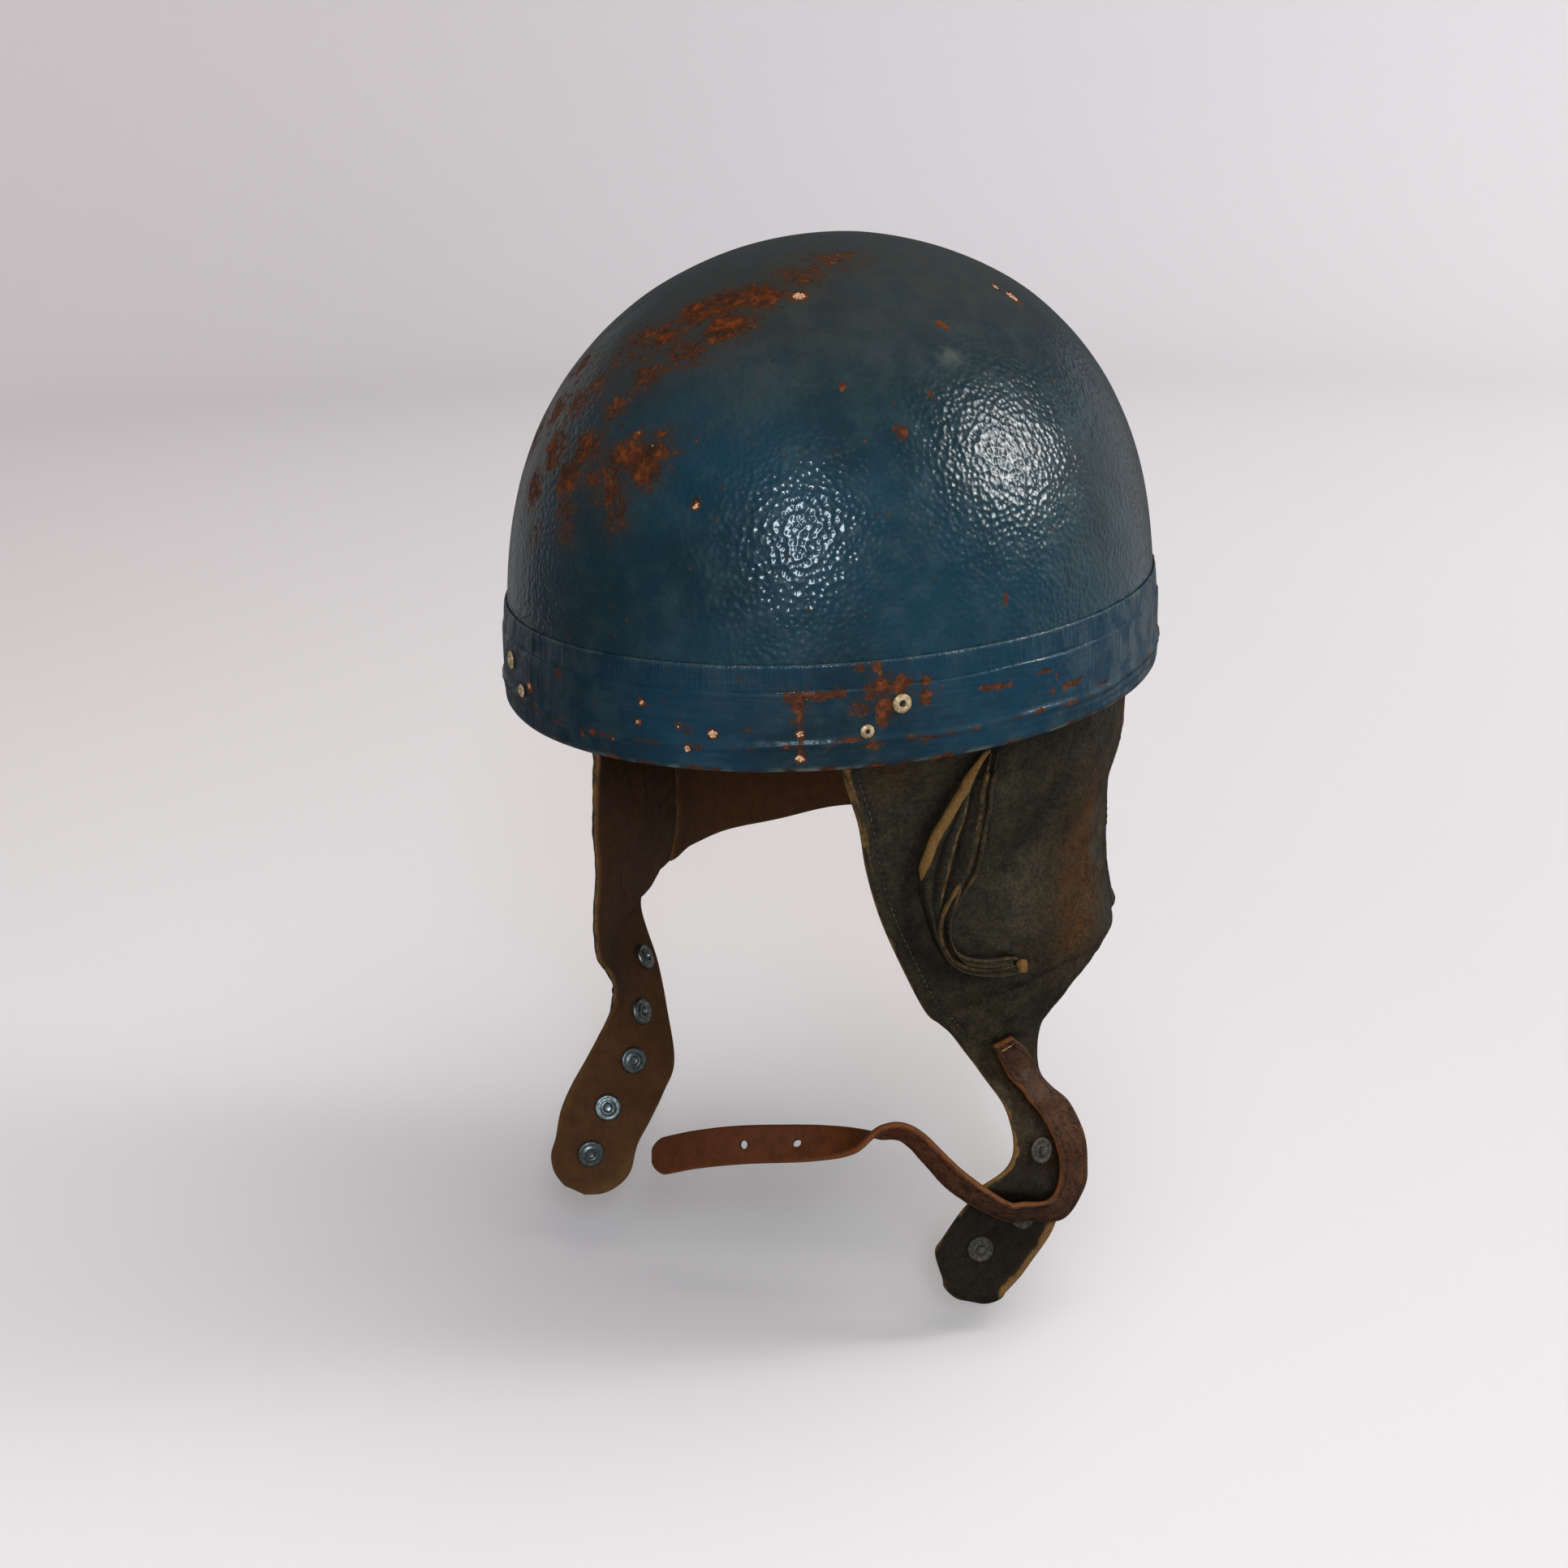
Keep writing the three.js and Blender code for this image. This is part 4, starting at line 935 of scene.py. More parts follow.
flap_folds = [
    # both ends of the line, then width and height
    ([103, -38, -24], [93, -62, -58], 8, -3.5), ([105, -10, -10], [103, -35, -42], 9, 2.5),
    ([84, -68, -22], [80, -72, -52], 9, -3), ([95, 20, -72], [88, -5, -98], 9, -3),
    ([92, -45, -96], [84, -42, -120], 5, 2),
]


def rounded_off(rows, depth=1.0):
    """Adds rows that narrow along a half ellipse past the last one, square to it."""
    middle = (rows[:, :3] + rows[:, 3:6]) / 2
    half = (rows[-1, 3:6] - rows[-1, :3]) / 2
    onward = middle[-1] - middle[-2]
    onward = unit(onward - unit(half) * (onward @ unit(half))) * np.linalg.norm(half) * depth
    extra = []
    for angle in np.radians([25, 50, 75]):
        centre = middle[-1] + onward * math.sin(angle)
        reach = half * math.cos(angle)
        extra.append([*(centre - reach), *(centre + reach), rows[-1, 6] * math.cos(angle)])
    return np.vstack([rows, extra])


left_rows = rounded_off(np.vstack([flap_top, left_tab]), 0.5)
right_top = flap_top.copy()
right_top[:, 6] = right_bow
right_rows = rounded_off(np.vstack([right_top, right_tab]))


def flap_place(rows, t, s):
    """Points half way through the leather: t counts rows down, s runs from the front edge to the rear."""
    t, s = np.broadcast_arrays(np.asarray(t, float), np.asarray(s, float))
    row = through(rows, t)
    front, across = row[..., :3], row[..., 3:6] - row[..., :3]
    ahead = through(rows, np.minimum(t + 0.1, len(rows) - 1))
    behind = through(rows, np.maximum(t - 0.1, 0))
    down = ahead[..., :3] + ahead[..., 3:6] - behind[..., :3] - behind[..., 3:6]
    outward = unit(np.cross(down, across))
    share = s[..., None]
    point = front + across * share + outward * row[..., 6:7] * 4 * share * (1 - share)
    for start, end, width, height in flap_folds:
        point = point + outward * (height * bump_line(away_from(point, start, end), width))[..., None]
    return point


def flap_facing(rows, t, s):
    last = len(rows) - 1
    down = flap_place(rows, np.minimum(t + 0.05, last), s) - flap_place(rows, np.maximum(t - 0.05, 0), s)
    across = flap_place(rows, t, np.minimum(s + 0.01, 1)) - flap_place(rows, t, np.maximum(s - 0.01, 0))
    return unit(np.cross(down, across))


# %% The leather's grid
grid_pitch, grid_columns, leather_half = 1.15, 66, 1.0
edge_steps = np.array([0, 0.12, 0.35, 0.7, 1.1, 1.6, 2.2, 2.9, 3.6, 4.2, 4.8, 5.6])


def flap_grid(rows):
    """Row and column places of a fine grid: even steps down the leather, close steps at its edges."""
    last = len(rows) - 1
    dense = np.linspace(0, last, 1600)
    middle = flap_place(rows, dense, np.full(dense.shape, 0.5))
    walked = walked_along(middle)
    length = walked[-1]
    steps = np.linspace(edge_steps[-1], length - edge_steps[-1], int(length / grid_pitch))
    steps = np.concatenate([edge_steps[:-1], steps, (length - edge_steps[:-1])[::-1]])
    t = np.interp(steps, walked, dense)
    row = through(rows, t)
    width = np.linalg.norm(row[:, 3:6] - row[:, :3], axis=1)
    near = edge_steps[None, :] * np.minimum(1, width / 13.5)[:, None]
    middle_share = np.linspace(0, 1, grid_columns)[None, 1:-1]
    inner = near[:, -1:] + (width[:, None] - 2 * near[:, -1:]) * middle_share
    from_front = np.concatenate([near, inner, width[:, None] - near[:, ::-1]], 1)
    s = from_front / width[:, None]
    from_top = np.broadcast_to(steps[:, None], s.shape)
    return t, s, from_front, width[:, None] - from_front, from_top, length - from_top


def at_places(grid, t_rows, s_columns, t, s):
    """Values of a grid at chosen places, read between its rows and columns."""
    found = []
    for one_t, one_s in zip(np.ravel(t), np.ravel(s)):
        i = int(np.clip(np.searchsorted(t_rows, one_t) - 1, 0, len(t_rows) - 2))
        f = np.clip((one_t - t_rows[i]) / max(t_rows[i + 1] - t_rows[i], 1e-9), 0, 1)
        above, below = (
            np.array([np.interp(one_s, s_columns[k], grid[k, :, c]) for c in range(grid.shape[2])]) for k in (i, i + 1)
        )
        found.append(above * (1 - f) + below * f)
    return np.array(found)


def leather_wall(middle, outward, edge, relief, inner_relief):
    """Outer and inner faces of a leather sheet, round at its cut edges and joined there."""
    half = leather_half * rounded_edge(edge, leather_half)
    fade = np.clip(edge / 1.2, 0, 1)
    outer = middle + outward * (half + relief * fade)[..., None]
    inner = middle + outward * (-half + inner_relief * fade)[..., None]
    join_border(outer, middle)
    return outer, inner


# %% [markdown]
# The hem along the front is the leather turned back on itself and stitched down. It shows as a round
# bead at the edge, a groove where the thread pulls it in, and a soft second ridge where the turned-in
# layer ends. These are a millimetre or less, so they are pushed into the fine grid along its normals.

# %% Hems, creases, rubbed places and painted shade of the left flap
seam_in = 4.1
left_creases = [
    # rows down the flap and places across it, then width and height in millimetres
    ([(5.30, 0.179), (5.6, 0.201), (5.86, 0.224), (6.02, 0.262), (6.2, 0.288)], 0.8, 0.9),
    ([(2.05, 0.66), (2.9, 0.55), (3.6, 0.446), (4.55, 0.353)], 5.5, -1.3),
    ([(2.2, 0.80), (2.92, 0.652), (3.6, 0.60)], 6.0, 1.2),
    ([(2.9, 0.345), (3.2, 0.33), (3.6, 0.32)], 3.0, 0.6),
    ([(6.45, 0.16), (6.9, 0.2), (7.6, 0.26)], 1.6, 0.5), ([(6.4, 0.24), (6.9, 0.28), (7.5, 0.33)], 1.5, 0.45),
    ([(6.35, 0.33), (6.9, 0.36), (7.6, 0.4)], 1.7, -0.6), ([(6.4, 0.38), (7.1, 0.43), (8.2, 0.47)], 2.0, 0.5),
    ([(5.4, 0.60), (6.2, 0.50), (7.0, 0.44)], 5.0, -1.0), ([(4.2, 0.72), (5.2, 0.66), (6.2, 0.6)], 6.0, 0.9),
    ([(7.6, 0.1), (8.6, 0.22), (9.6, 0.32)], 2.4, -0.7), ([(7.5, 0.7), (8.4, 0.62), (9.4, 0.55)], 3.0, 0.8),
    ([(9.4, 0.1), (10.2, 0.16), (11.6, 0.2)], 1.6, -0.45),
    ([(15.0, 0.1), (15.05, 0.5), (15.0, 0.9)], 1.0, -0.35),
    ([(4.35, 0.9), (4.6, 0.8), (4.75, 0.7)], 3.0, -1.2), ([(5.6, 0.93), (5.5, 0.84), (5.3, 0.76)], 2.6, 0.9),
]
pocket_front = [
    (1.21, 0.323), (1.41, 0.299), (2.39, 0.254), (2.73, 0.213), (2.96, 0.182), (3.23, 0.154), (3.6, 0.134),
    (4.03, 0.117), (4.46, 0.11),
]
pocket_welt = [
    (1.27, 0.339), (1.86, 0.339), (2.89, 0.297), (3.13, 0.284), (3.54, 0.272), (3.95, 0.259), (4.29, 0.239),
    (4.6, 0.201), (4.86, 0.156), (5.18, 0.127), (5.5, 0.113), (5.81, 0.119), (6.0, 0.15), (6.13, 0.195),
    (6.19, 0.248), (6.26, 0.275),
]
# wear: the same kind of path, then width in millimetres and strength
warm_places = [
    ([(3.7, 0.70), (4.5, 0.64), (5.3, 0.58), (6.0, 0.54)], 15, 1.0), ([(5.6, 0.72), (6.2, 0.62)], 9, 0.6),
    ([(1.4, 0.93), (2.4, 0.9), (3.2, 0.93)], 5, 0.5), ([(1.2, 0.1), (2.2, 0.09)], 5, 0.6),
]
rubbed_streaks = [
    ([(1.9, 0.97), (2.66, 0.862), (2.9, 0.795), (2.93, 0.704), (3.06, 0.64), (3.42, 0.63)], 3.0, 0.5),
    ([(1.3, 0.975), (2.3, 0.975), (3.3, 0.985)], 3.0, 0.7), ([(1.2, 0.0), (2.2, 0.0), (3.4, 0.0)], 2.3, 0.9),
    ([(5.9, 0.76), (6.3, 0.66), (6.62, 0.56)], 6, 0.4),
    ([(13.2, 0.01), (13.8, 0.01), (14.4, 0.01), (14.9, 0.02)], 1.8, 1.0),
    ([(2.04, 0.053), (2.56, 0.056), (2.96, 0.058)], 1.6, 0.5),
    ([(15.4, 0.99), (17.0, 0.99), (18.4, 0.99), (20.0, 0.97)], 3.2, 1.2),
]
# Painted shade, as the same kind of path with width and strength: outside the welt's lower run, and in a valley running
# down to the pocket.
painted_shade_places = [
    ([(3.65, 0.107), (4.42, 0.078), (5.04, 0.054), (5.54, 0.043), (5.96, 0.061), (6.22, 0.098), (6.39, 0.172)],
     4.0, 0.75),
    ([(2.89, 0.565), (3.17, 0.504), (3.51, 0.458), (3.89, 0.4), (4.35, 0.348)], 4.5, 0.6),
]


# %% Relief, wear and painted shade of a flap
def line_on(rows, middle, path, width):
    """1 along a path over the flap's rows and places, falling to 0 beside it."""
    return bump_line(away_from_path(middle, flap_place(rows, *np.array(path).T)), width)


def flap_relief(rows, t_grid, middle, from_front, from_rear, creases):
    """Height of a flap's outer face, with its hems and seams, and of the shapes both faces share."""
    relief = np.zeros(from_front.shape)
    for path, width, height in creases:
        relief += height * line_on(rows, middle, path, width)
    relief += 0.22 * ripple(middle, 13, 21) + 0.10 * ripple(middle, 5, 22)
    both_sides = relief.copy()

    hem = smooth_step(9.9, 9.0, t_grid)
    relief += hem * (0.75 * bump_line(from_front - 1.7, 1.25) - 0.45 * bump_line(from_front - seam_in, 0.55))
    relief += hem * 0.45 * smooth_step(3.4, 2.2, t_grid) * bump_line(from_front - 8.6, 1.6)
    relief -= 0.22 * bump_line(from_rear - seam_in, 0.5) * smooth_step(7.4, 6.9, t_grid)
    on_tab = smooth_step(9.6, 10.6, t_grid)
    relief -= on_tab * 0.28 * (bump_line(from_front - 3.2, 0.5) + bump_line(from_rear - 3.2, 0.5))
    return relief, both_sides, hem, on_tab


def flap_fields(rows, t_grid, middle, edges, hem, on_tab):
    """Rubbed, warm and darker places of a flap: darker along the hem's stitched groove and the rear edge, painted shade
    round the pocket and under the dome's rim, and darker leather with painted shade down the lower tab.
    """
    from_front, from_rear, from_top, from_end = edges
    edge = np.minimum.reduce([from_front, from_rear, from_top, from_end])
    ragged = 0.5 + 0.5 * ripple(middle, 6, 31)
    rubbed = np.clip(1 - edge / (0.7 + 1.1 * ragged), 0, 1) * (0.45 + 0.35 * ragged)
    hem_rub = hem * 0.78 * bump_line(from_front - 1.5, 1.0) * smooth_step(7.0, 1.2, t_grid) * (0.6 + 0.4 * ragged)
    fold_rub = hem * 0.40 * bump_line(from_front - 8.4, 1.5) * smooth_step(3.6, 1.6, t_grid) * ragged
    streaks = 0.2 * smooth_step(4.0, 0.8, t_grid) * smooth_step(9, 1, from_rear)
    for path, width, strength in rubbed_streaks:
        streaks = np.maximum(streaks, strength * line_on(rows, middle, path, width))
    rubbed = np.maximum.reduce([rubbed, hem_rub, fold_rub, streaks * (0.55 + 0.45 * ragged)])

    warm = np.zeros(edge.shape)
    for path, width, strength in warm_places:
        warm = np.maximum(warm, strength * line_on(rows, middle, path, width))
    warm = np.clip(warm + 0.15 * ripple(middle, 14, 33) * (warm > 0.1) + 0.25 * on_tab, 0, 1)

    grime_and_shade = np.zeros(edge.shape)
    # Painted shade beside the pocket's bound edge and its welt, which stand off the flap, and in the shaded valleys
    # listed above.
    for path, width, strength in [(pocket_front, 5.0, 0.85), (pocket_welt, 3.6, 0.8), *painted_shade_places]:
        grime_and_shade = np.maximum(grime_and_shade, strength * line_on(rows, middle, path, width))
    # Darker along the hem's stitched groove and the rear edge; painted shade under the dome's rim at the top; down the
    # lower tab darker leather with painted shade where it turns down.
    grime_and_shade = np.maximum.reduce([
        grime_and_shade, 0.55 * hem * bump_line(from_front - 4.2, 0.7), 0.6 * bump_line(from_rear - 0.4, 0.9),
        0.5 * smooth_step(8, 2, from_top), 0.85 * smooth_step(11.5, 15.5, t_grid) * (1 - rubbed),
    ])
    return edge, {"rubbed": rubbed, "warm": warm, "grime_and_shade": grime_and_shade}


# %% Build the flaps
to_right = np.array([-1, 1, 1])


def eased(grid, share):
    """The grid with its bends down the leather softened, where the share is above 0."""
    soft = grid.copy()
    for _ in range(40):
        soft[1:-1] += 0.25 * (soft[2:] - 2 * soft[1:-1] + soft[:-2])
    return grid + (soft - grid) * share[..., None]


def build_flap(name, rows, creases, mirror):
    t, s, *edges = flap_grid(rows)
    t_grid = np.broadcast_to(t[:, None], s.shape)
    top_bend = smooth_step(0.5, 1.1, t_grid) * smooth_step(2.8, 2.2, t_grid)
    waist_bend = smooth_step(6.3, 6.9, t_grid) * smooth_step(9.0, 8.2, t_grid)
    bends = np.maximum(top_bend, waist_bend) * smooth_step(0.5, 9, np.minimum(edges[0], edges[1]))
    middle = eased(flap_place(rows, t_grid, s), bends)
    outward = unit(eased(flap_facing(rows, t_grid, s), bends))
    relief, shared, hem, on_tab = flap_relief(rows, t_grid, middle, edges[0], edges[1], creases)
    edge, fields = flap_fields(rows, t_grid, middle, edges, hem, on_tab)
    outer, inner = leather_wall(middle, outward, edge, relief, shared * 0.8)
    fields["inside"] = np.zeros(edge.shape)
    inside = {**fields, "inside": np.ones(edge.shape), "grime_and_shade": fields["grime_and_shade"] * 0.2, "rubbed": fields["rubbed"] * 0.5}
    faces, wear = (outer, inner), (fields, inside)
    if mirror:
        faces, wear = (face[:, ::-1] * to_right for face in faces), (turned_over(group) for group in wear)
    piece = wall(name, *faces, *wear)
    length, area = float(edges[2].max()), sheet_area(middle)
    print(name, "length", round(length), "mm, area", round(area), "mm2")
    return piece, {"t": t, "s": s, "outer": outer, "area": area, "length": length}


left_flap, left_leather = build_flap("left_ear_flap", left_rows, left_creases, False)
right_creases = [crease for crease in left_creases if crease[1] < 3 or crease[0][0][0] < 7]
right_flap, right_leather = build_flap("right_ear_flap", right_rows, right_creases, True)

# %% [markdown]
# ## The leather's finish
#
# Old chrome leather that was black or dark brown goes a greenish grey-brown where its finish thins, to
# tan wherever an edge rubs, and to a warm brown where hands and sweat reach it. Its grain is a net of
# small pebbles about a millimetre across. The colour is layered in that order: a cloudy base, fine
# mottling, then rubbed and warm places, and darker places of grime and painted shade, from numbers that
# the grid already carries.

# %% Flap leather and strap leather
def old_leather(name, base, pale, rub, warm, flesh, grain=820.0, gloss=0.46, depth=0.30):
    """Old chrome leather; `rub` is the tan of its edges, `flesh` the colour of its rough inner side."""
    material, tree, surface = shader(name, Specular_IOR_Level=0.14)
    place = node(tree, "ShaderNodeTexCoord").outputs["Object"]
    cloud = noise(tree, place, 34, 4.0, 0.55)
    mottle = noise(tree, place, 210, 6.0, 0.65)
    fleck = noise(tree, place, 900, 3.0, 0.6)
    cells = node(tree, "ShaderNodeTexVoronoi", {"Vector": place, "Scale": grain}, feature="DISTANCE_TO_EDGE")
    pebbles = cells.outputs["Distance"]

    colour = mix(tree, between(tree, cloud, 0.34, 0.68), base, pale)
    warmth = times(tree, field(tree, "warm"), between(tree, mottle, 0.36, 0.56, 0.35, 1))
    colour = mix(tree, warmth, colour, warm)
    colour = mix(tree, between(tree, mottle, 0.42, 0.66, 0, 0.5), colour, srgb(14, 13, 10))
    colour = mix(tree, between(tree, fleck, 0.46, 0.62, 0, 0.55), colour, mix(tree, 0.72, colour, srgb(6, 6, 5)))
    colour = mix(tree, between(tree, fleck, 0.46, 0.36, 0, 0.08), colour, rub)
    # Darker places carried by the grid: grime, and painted shade such as that round the ear pocket and under the dome's
    # rim.
    colour = mix(tree, times(tree, field(tree, "grime_and_shade"), 0.82), colour, srgb(9, 8, 6))
    worn = maths(tree, "MULTIPLY_ADD", maths(tree, "SUBTRACT", mottle, 0.5), 1.1, field(tree, "rubbed"))
    worn = between(tree, worn, 0.30, 0.72)
    tint = mix(tree, between(tree, fleck, 0.35, 0.65), rub, mix(tree, 0.45, rub, warm))
    colour = mix(tree, times(tree, worn, 0.92), colour, tint)
    colour = mix(tree, between(tree, pebbles, 0.06, 0.0, 0, 0.35), colour, srgb(9, 8, 6))

    nap = mix(tree, between(tree, mottle, 0.3, 0.7), flesh, mix(tree, 0.5, flesh, srgb(44, 27, 15)))
    nap = mix(tree, times(tree, field(tree, "rubbed"), 0.5), nap, rub)
    colour = mix(tree, field(tree, "inside"), colour, nap)
    tree.links.new(colour, surface.inputs["Base Color"])

    rough = between(tree, mottle, 0.3, 0.7, gloss, gloss + 0.2, smooth=False)
    rough = maths(tree, "ADD", rough, times(tree, worn, 0.16))
    rough = larger(tree, rough, times(tree, field(tree, "inside"), 0.8))
    tree.links.new(rough, surface.inputs["Roughness"])

    pebble_height = between(tree, pebbles, 0.0, 0.22)
    relief = bump(tree, pebble_height, depth, 0.00028)
    relief = bump(tree, noise(tree, place, 150, 5.0, 0.6, 0.4), 0.35, 0.0011, relief)
    relief = bump(tree, fleck, 0.18, 0.0003, relief)
    tree.links.new(relief, surface.inputs["Normal"])
    return material


flap_leather = old_leather(
    "flap_leather", srgb(37, 33, 22), srgb(51, 46, 32), srgb(106, 78, 40), srgb(70, 42, 13), srgb(68, 42, 20))
finish_piece(left_flap, flap_leather, "flap_leather", "ear_flap_left")
finish_piece(right_flap, flap_leather, "flap_leather", "ear_flap_right")

# %% [markdown]
# ## Neck curtain
#
# A strip of the same leather closes the back between the flaps. Each row is part of an ellipse, and
# the lower it hangs the more it waves, because nothing holds its hem. Its two ends are tucked in under
# the flaps' rear edges, as in a lapped seam.

# %% The curtain's rows
# each row: x and z of the seam, y and z of the back, and the y that the ellipse is drawn about
curtain_rows = np.array([
    [101.5, 26, 131, 26, 0], [101.5, 6, 131, 6, 0], [99.2, -11, 122, -11, 5],
    [92.6, -46, 116, -43, 5], [91.8, -84, 118, -78, 5], [95, -103, 121, -96, 5],
])
seam_y, hem_in = 39.5, 4.3


def curtain_place(t, share):
    """Points half way through the curtain's leather; share runs from the left seam to the right one."""
    seam_x, seam_z, back_y, back_z, centre = (through(curtain_rows, t)[..., c] for c in range(5))
    depth = back_y - centre
    start = np.arcsin((seam_y - centre) / depth)
    turn = start + share * (math.pi - 2 * start)
    x = seam_x * np.cos(turn) / np.cos(start)
    behind = (np.sin(turn) - np.sin(start)) / (1 - np.sin(start))
    return np.stack([x, centre + depth * np.sin(turn), seam_z + (back_z - seam_z) * behind], -1)


def fine_at_ends(size, count):
    """Shares of a size in millimetres: even steps, with the leather's closer steps at both ends."""
    near = edge_steps[:-1] / size
    return np.concatenate([near, np.linspace(edge_steps[-1] / size, 1 - edge_steps[-1] / size, count), 1 - near[::-1]])


# %% Build the curtain
curtain_deep, curtain_wide = 130, 258
down_steps = fine_at_ends(curtain_deep, 112)
across_steps = fine_at_ends(curtain_wide, 215)
t_grid, share = np.meshgrid(down_steps * (len(curtain_rows) - 1), across_steps, indexing="ij")
middle = curtain_place(t_grid, share)
outward = -grid_normals(middle)
outward = outward * np.sign((outward * (middle * [1, 1, 0])).sum(-1, keepdims=True).mean())
drop = smooth_step(0.9, 5, t_grid)
seam_gap = np.minimum(share, 1 - share) * curtain_wide
swell = 1.5 * np.sin(share * 2 * math.pi * 4.5 + 0.6) + 1.0 * ripple(middle, 60, 41, (1, 1, 3))
waves = drop * smooth_step(2, 34, seam_gap) * swell
tuck = -2.7 * smooth_step(9, 1.5, seam_gap) * smooth_step(0.9, 1.5, t_grid)
middle = middle + outward * (waves + tuck)[..., None]
run_on = 7.5 * smooth_step(11, 0, seam_gap) * smooth_step(0.7, 1.4, t_grid)
middle = middle + np.array([0, -1.0, 0]) * run_on[..., None]
from_top = down_steps[:, None] * curtain_deep + 0 * share
from_hem = curtain_deep - from_top
edge = np.minimum.reduce([seam_gap, from_top, from_hem])
relief = 0.2 * ripple(middle, 12, 42) + 0.09 * ripple(middle, 5, 43)
relief += 0.6 * bump_line(from_hem - 1.8, 1.3) - 0.4 * bump_line(from_hem - hem_in, 0.6)
for x, tilt in ((-34, 5), (12, -6), (47, 4)):
    relief += 0.5 * bump_line(middle[..., 0] - x - tilt * middle[..., 2] / 60, 2.2) * smooth_step(1.5, 3, t_grid)
outer, inner = leather_wall(middle, outward, edge, relief, relief * 0)
ragged = 0.5 + 0.5 * ripple(middle, 6, 44)
fields = {
    "rubbed": np.maximum(np.clip(1 - edge / (1 + 1.6 * ragged), 0, 1), 0.6 * bump_line(from_hem - 1.7, 1.1) * ragged),
    "warm": np.clip(0.6 * ripple(middle, 42, 45) * smooth_step(1.5, 4, t_grid), 0, 1),
    # Darker along the hem's stitched groove, and painted shade where the flaps' rear edges lie over the curtain's ends.
    "grime_and_shade": np.maximum(0.5 * bump_line(from_hem - hem_in, 0.7), 0.6 * bump_line(seam_gap - 6.5, 2.2)),
    "inside": np.zeros(edge.shape),
}
curtain = wall("curtain", outer[:, ::-1], inner[:, ::-1], turned_over(fields),
               {"inside": np.ones(edge.shape), "grime_and_shade": edge * 0, "warm": edge * 0})
hem_row = int(np.argmin(np.abs(from_hem[:, 0] - hem_in)))
curtain_hem, hem_outward = outer[hem_row, 8:-8], outward[hem_row, 8:-8]
finish_piece(curtain, flap_leather, "flap_leather", "neck_curtain")

# %% [markdown]
# ## Ear pockets
#
# Over each ear the leather is slit and let out with a crescent-shaped pocket, so that the rider can
# hear. Its front edge is bound in tan leather and stands away from the flap. Its rear edge is a double
# welt that runs on under the ear to a small knot. The pocket is a sheet again, this time with a
# profile across it: up over the bound edge, down into the slit, and up to the welt.

# %% The pocket's sheet
# each row: row and place of the pocket's front edge on the flap, then of its rear edge
pocket_rows = np.array([
    [2.33, 0.248, 2.36, 0.322], [2.72, 0.205, 2.78, 0.309], [3.3, 0.141, 3.5, 0.284], [3.85, 0.115, 4.1, 0.262],
    [4.4, 0.1, 4.6, 0.213], [5, 0.095, 4.95, 0.16], [5.45, 0.092, 5.28, 0.134], [5.88, 0.1, 5.6, 0.126],
    [6.16, 0.14, 5.87, 0.138], [6.32, 0.205, 6.03, 0.185], [6.36, 0.272, 6.1, 0.262],
])


def build_pocket(name, rows, height, mirror):
    along = np.linspace(0, 1, 150) * (len(pocket_rows) - 1)
    q = np.concatenate([[0, 0.01, 0.025], np.linspace(0.05, 0.95, 40), [0.975, 0.99, 1]])
    slit_at, lip_at, valley_at, welt_at = 0.30, 0.47, 0.66, 0.86
    edges = through(pocket_rows, along)
    t = edges[:, 0:1] + (edges[:, 2:3] - edges[:, 0:1]) * q
    s = edges[:, 1:2] + (edges[:, 3:4] - edges[:, 1:2]) * q
    base = flap_place(rows, t, s)
    facing = flap_facing(rows, t, s)
    wide = np.linalg.norm(base[:, -1] - base[:, 0], axis=1)[:, None]
    rise = height * np.minimum(1, 0.35 + along[:, None] * 2.2 / 6)
    open_share = smooth_step(7.5, 14, wide)
    ridge_front = 3.3 * bump_line(q - 0.13, 0.13)
    ridge_rear = 3.2 * bump_line(q - welt_at, 0.13)
    inner_lip = 1.7 * bump_line(q - lip_at, 0.11) * open_share
    floor_level = 0.35 + 0.9 * (1 - open_share)
    lift = 2.2 + (floor_level + ridge_front + ridge_rear + inner_lip) * rise
    lift = lift + 0.18 * ripple(base, 7, 51)
    down_to_flap = smooth_step(0, 0.07, np.minimum(q, 1 - q))
    top = leather_half + (lift - leather_half) * down_to_flap
    ends = np.minimum(along, along[-1] - along)[:, None]
    top = leather_half + (top - leather_half) * smooth_step(0, 0.35, ends)
    outer = base + facing * top[..., None]
    inner = base + facing * np.full(top.shape, 0.4)[..., None]
    join_border(outer, inner)
    # Painted shade in the slit, in the valley before the welt and where the pocket meets the flap.
    slit_shade = 0.95 * bump_line(q - slit_at, 0.09) * open_share
    fields = {
        "rubbed": 0.55 * bump_line(q - lip_at, 0.06) * open_share + 0.35 * bump_line(q - welt_at, 0.08),
        "warm": 0 * top,
        "grime_and_shade": np.clip(slit_shade + 0.75 * bump_line(q - valley_at, 0.11) + 0.6 * bump_line(q, 0.05), 0, 1),
        "inside": 0 * top,
    }
    if mirror:
        return wall(name, outer[:, ::-1] * to_right, inner[:, ::-1] * to_right, turned_over(fields))
    return wall(name, outer, inner, fields)


left_pocket = build_pocket("left_ear_pocket", left_rows, 1.0, False)
right_pocket = build_pocket("right_ear_pocket", right_rows, 0.6, True)
finish_piece(left_pocket, flap_leather, "flap_leather", "ear_pocket_left")
finish_piece(right_pocket, flap_leather, "flap_leather", "ear_pocket_right")

# %% [markdown]
# ## Piping and welts
#
# A bound edge or a welt is a round roll that follows a line on the leather. That is a curve with a
# circle carried along it, which Geometry Nodes does from a line of points. Each point carries its own
# `thickness`, so the roll thins out at its ends instead of stopping dead.

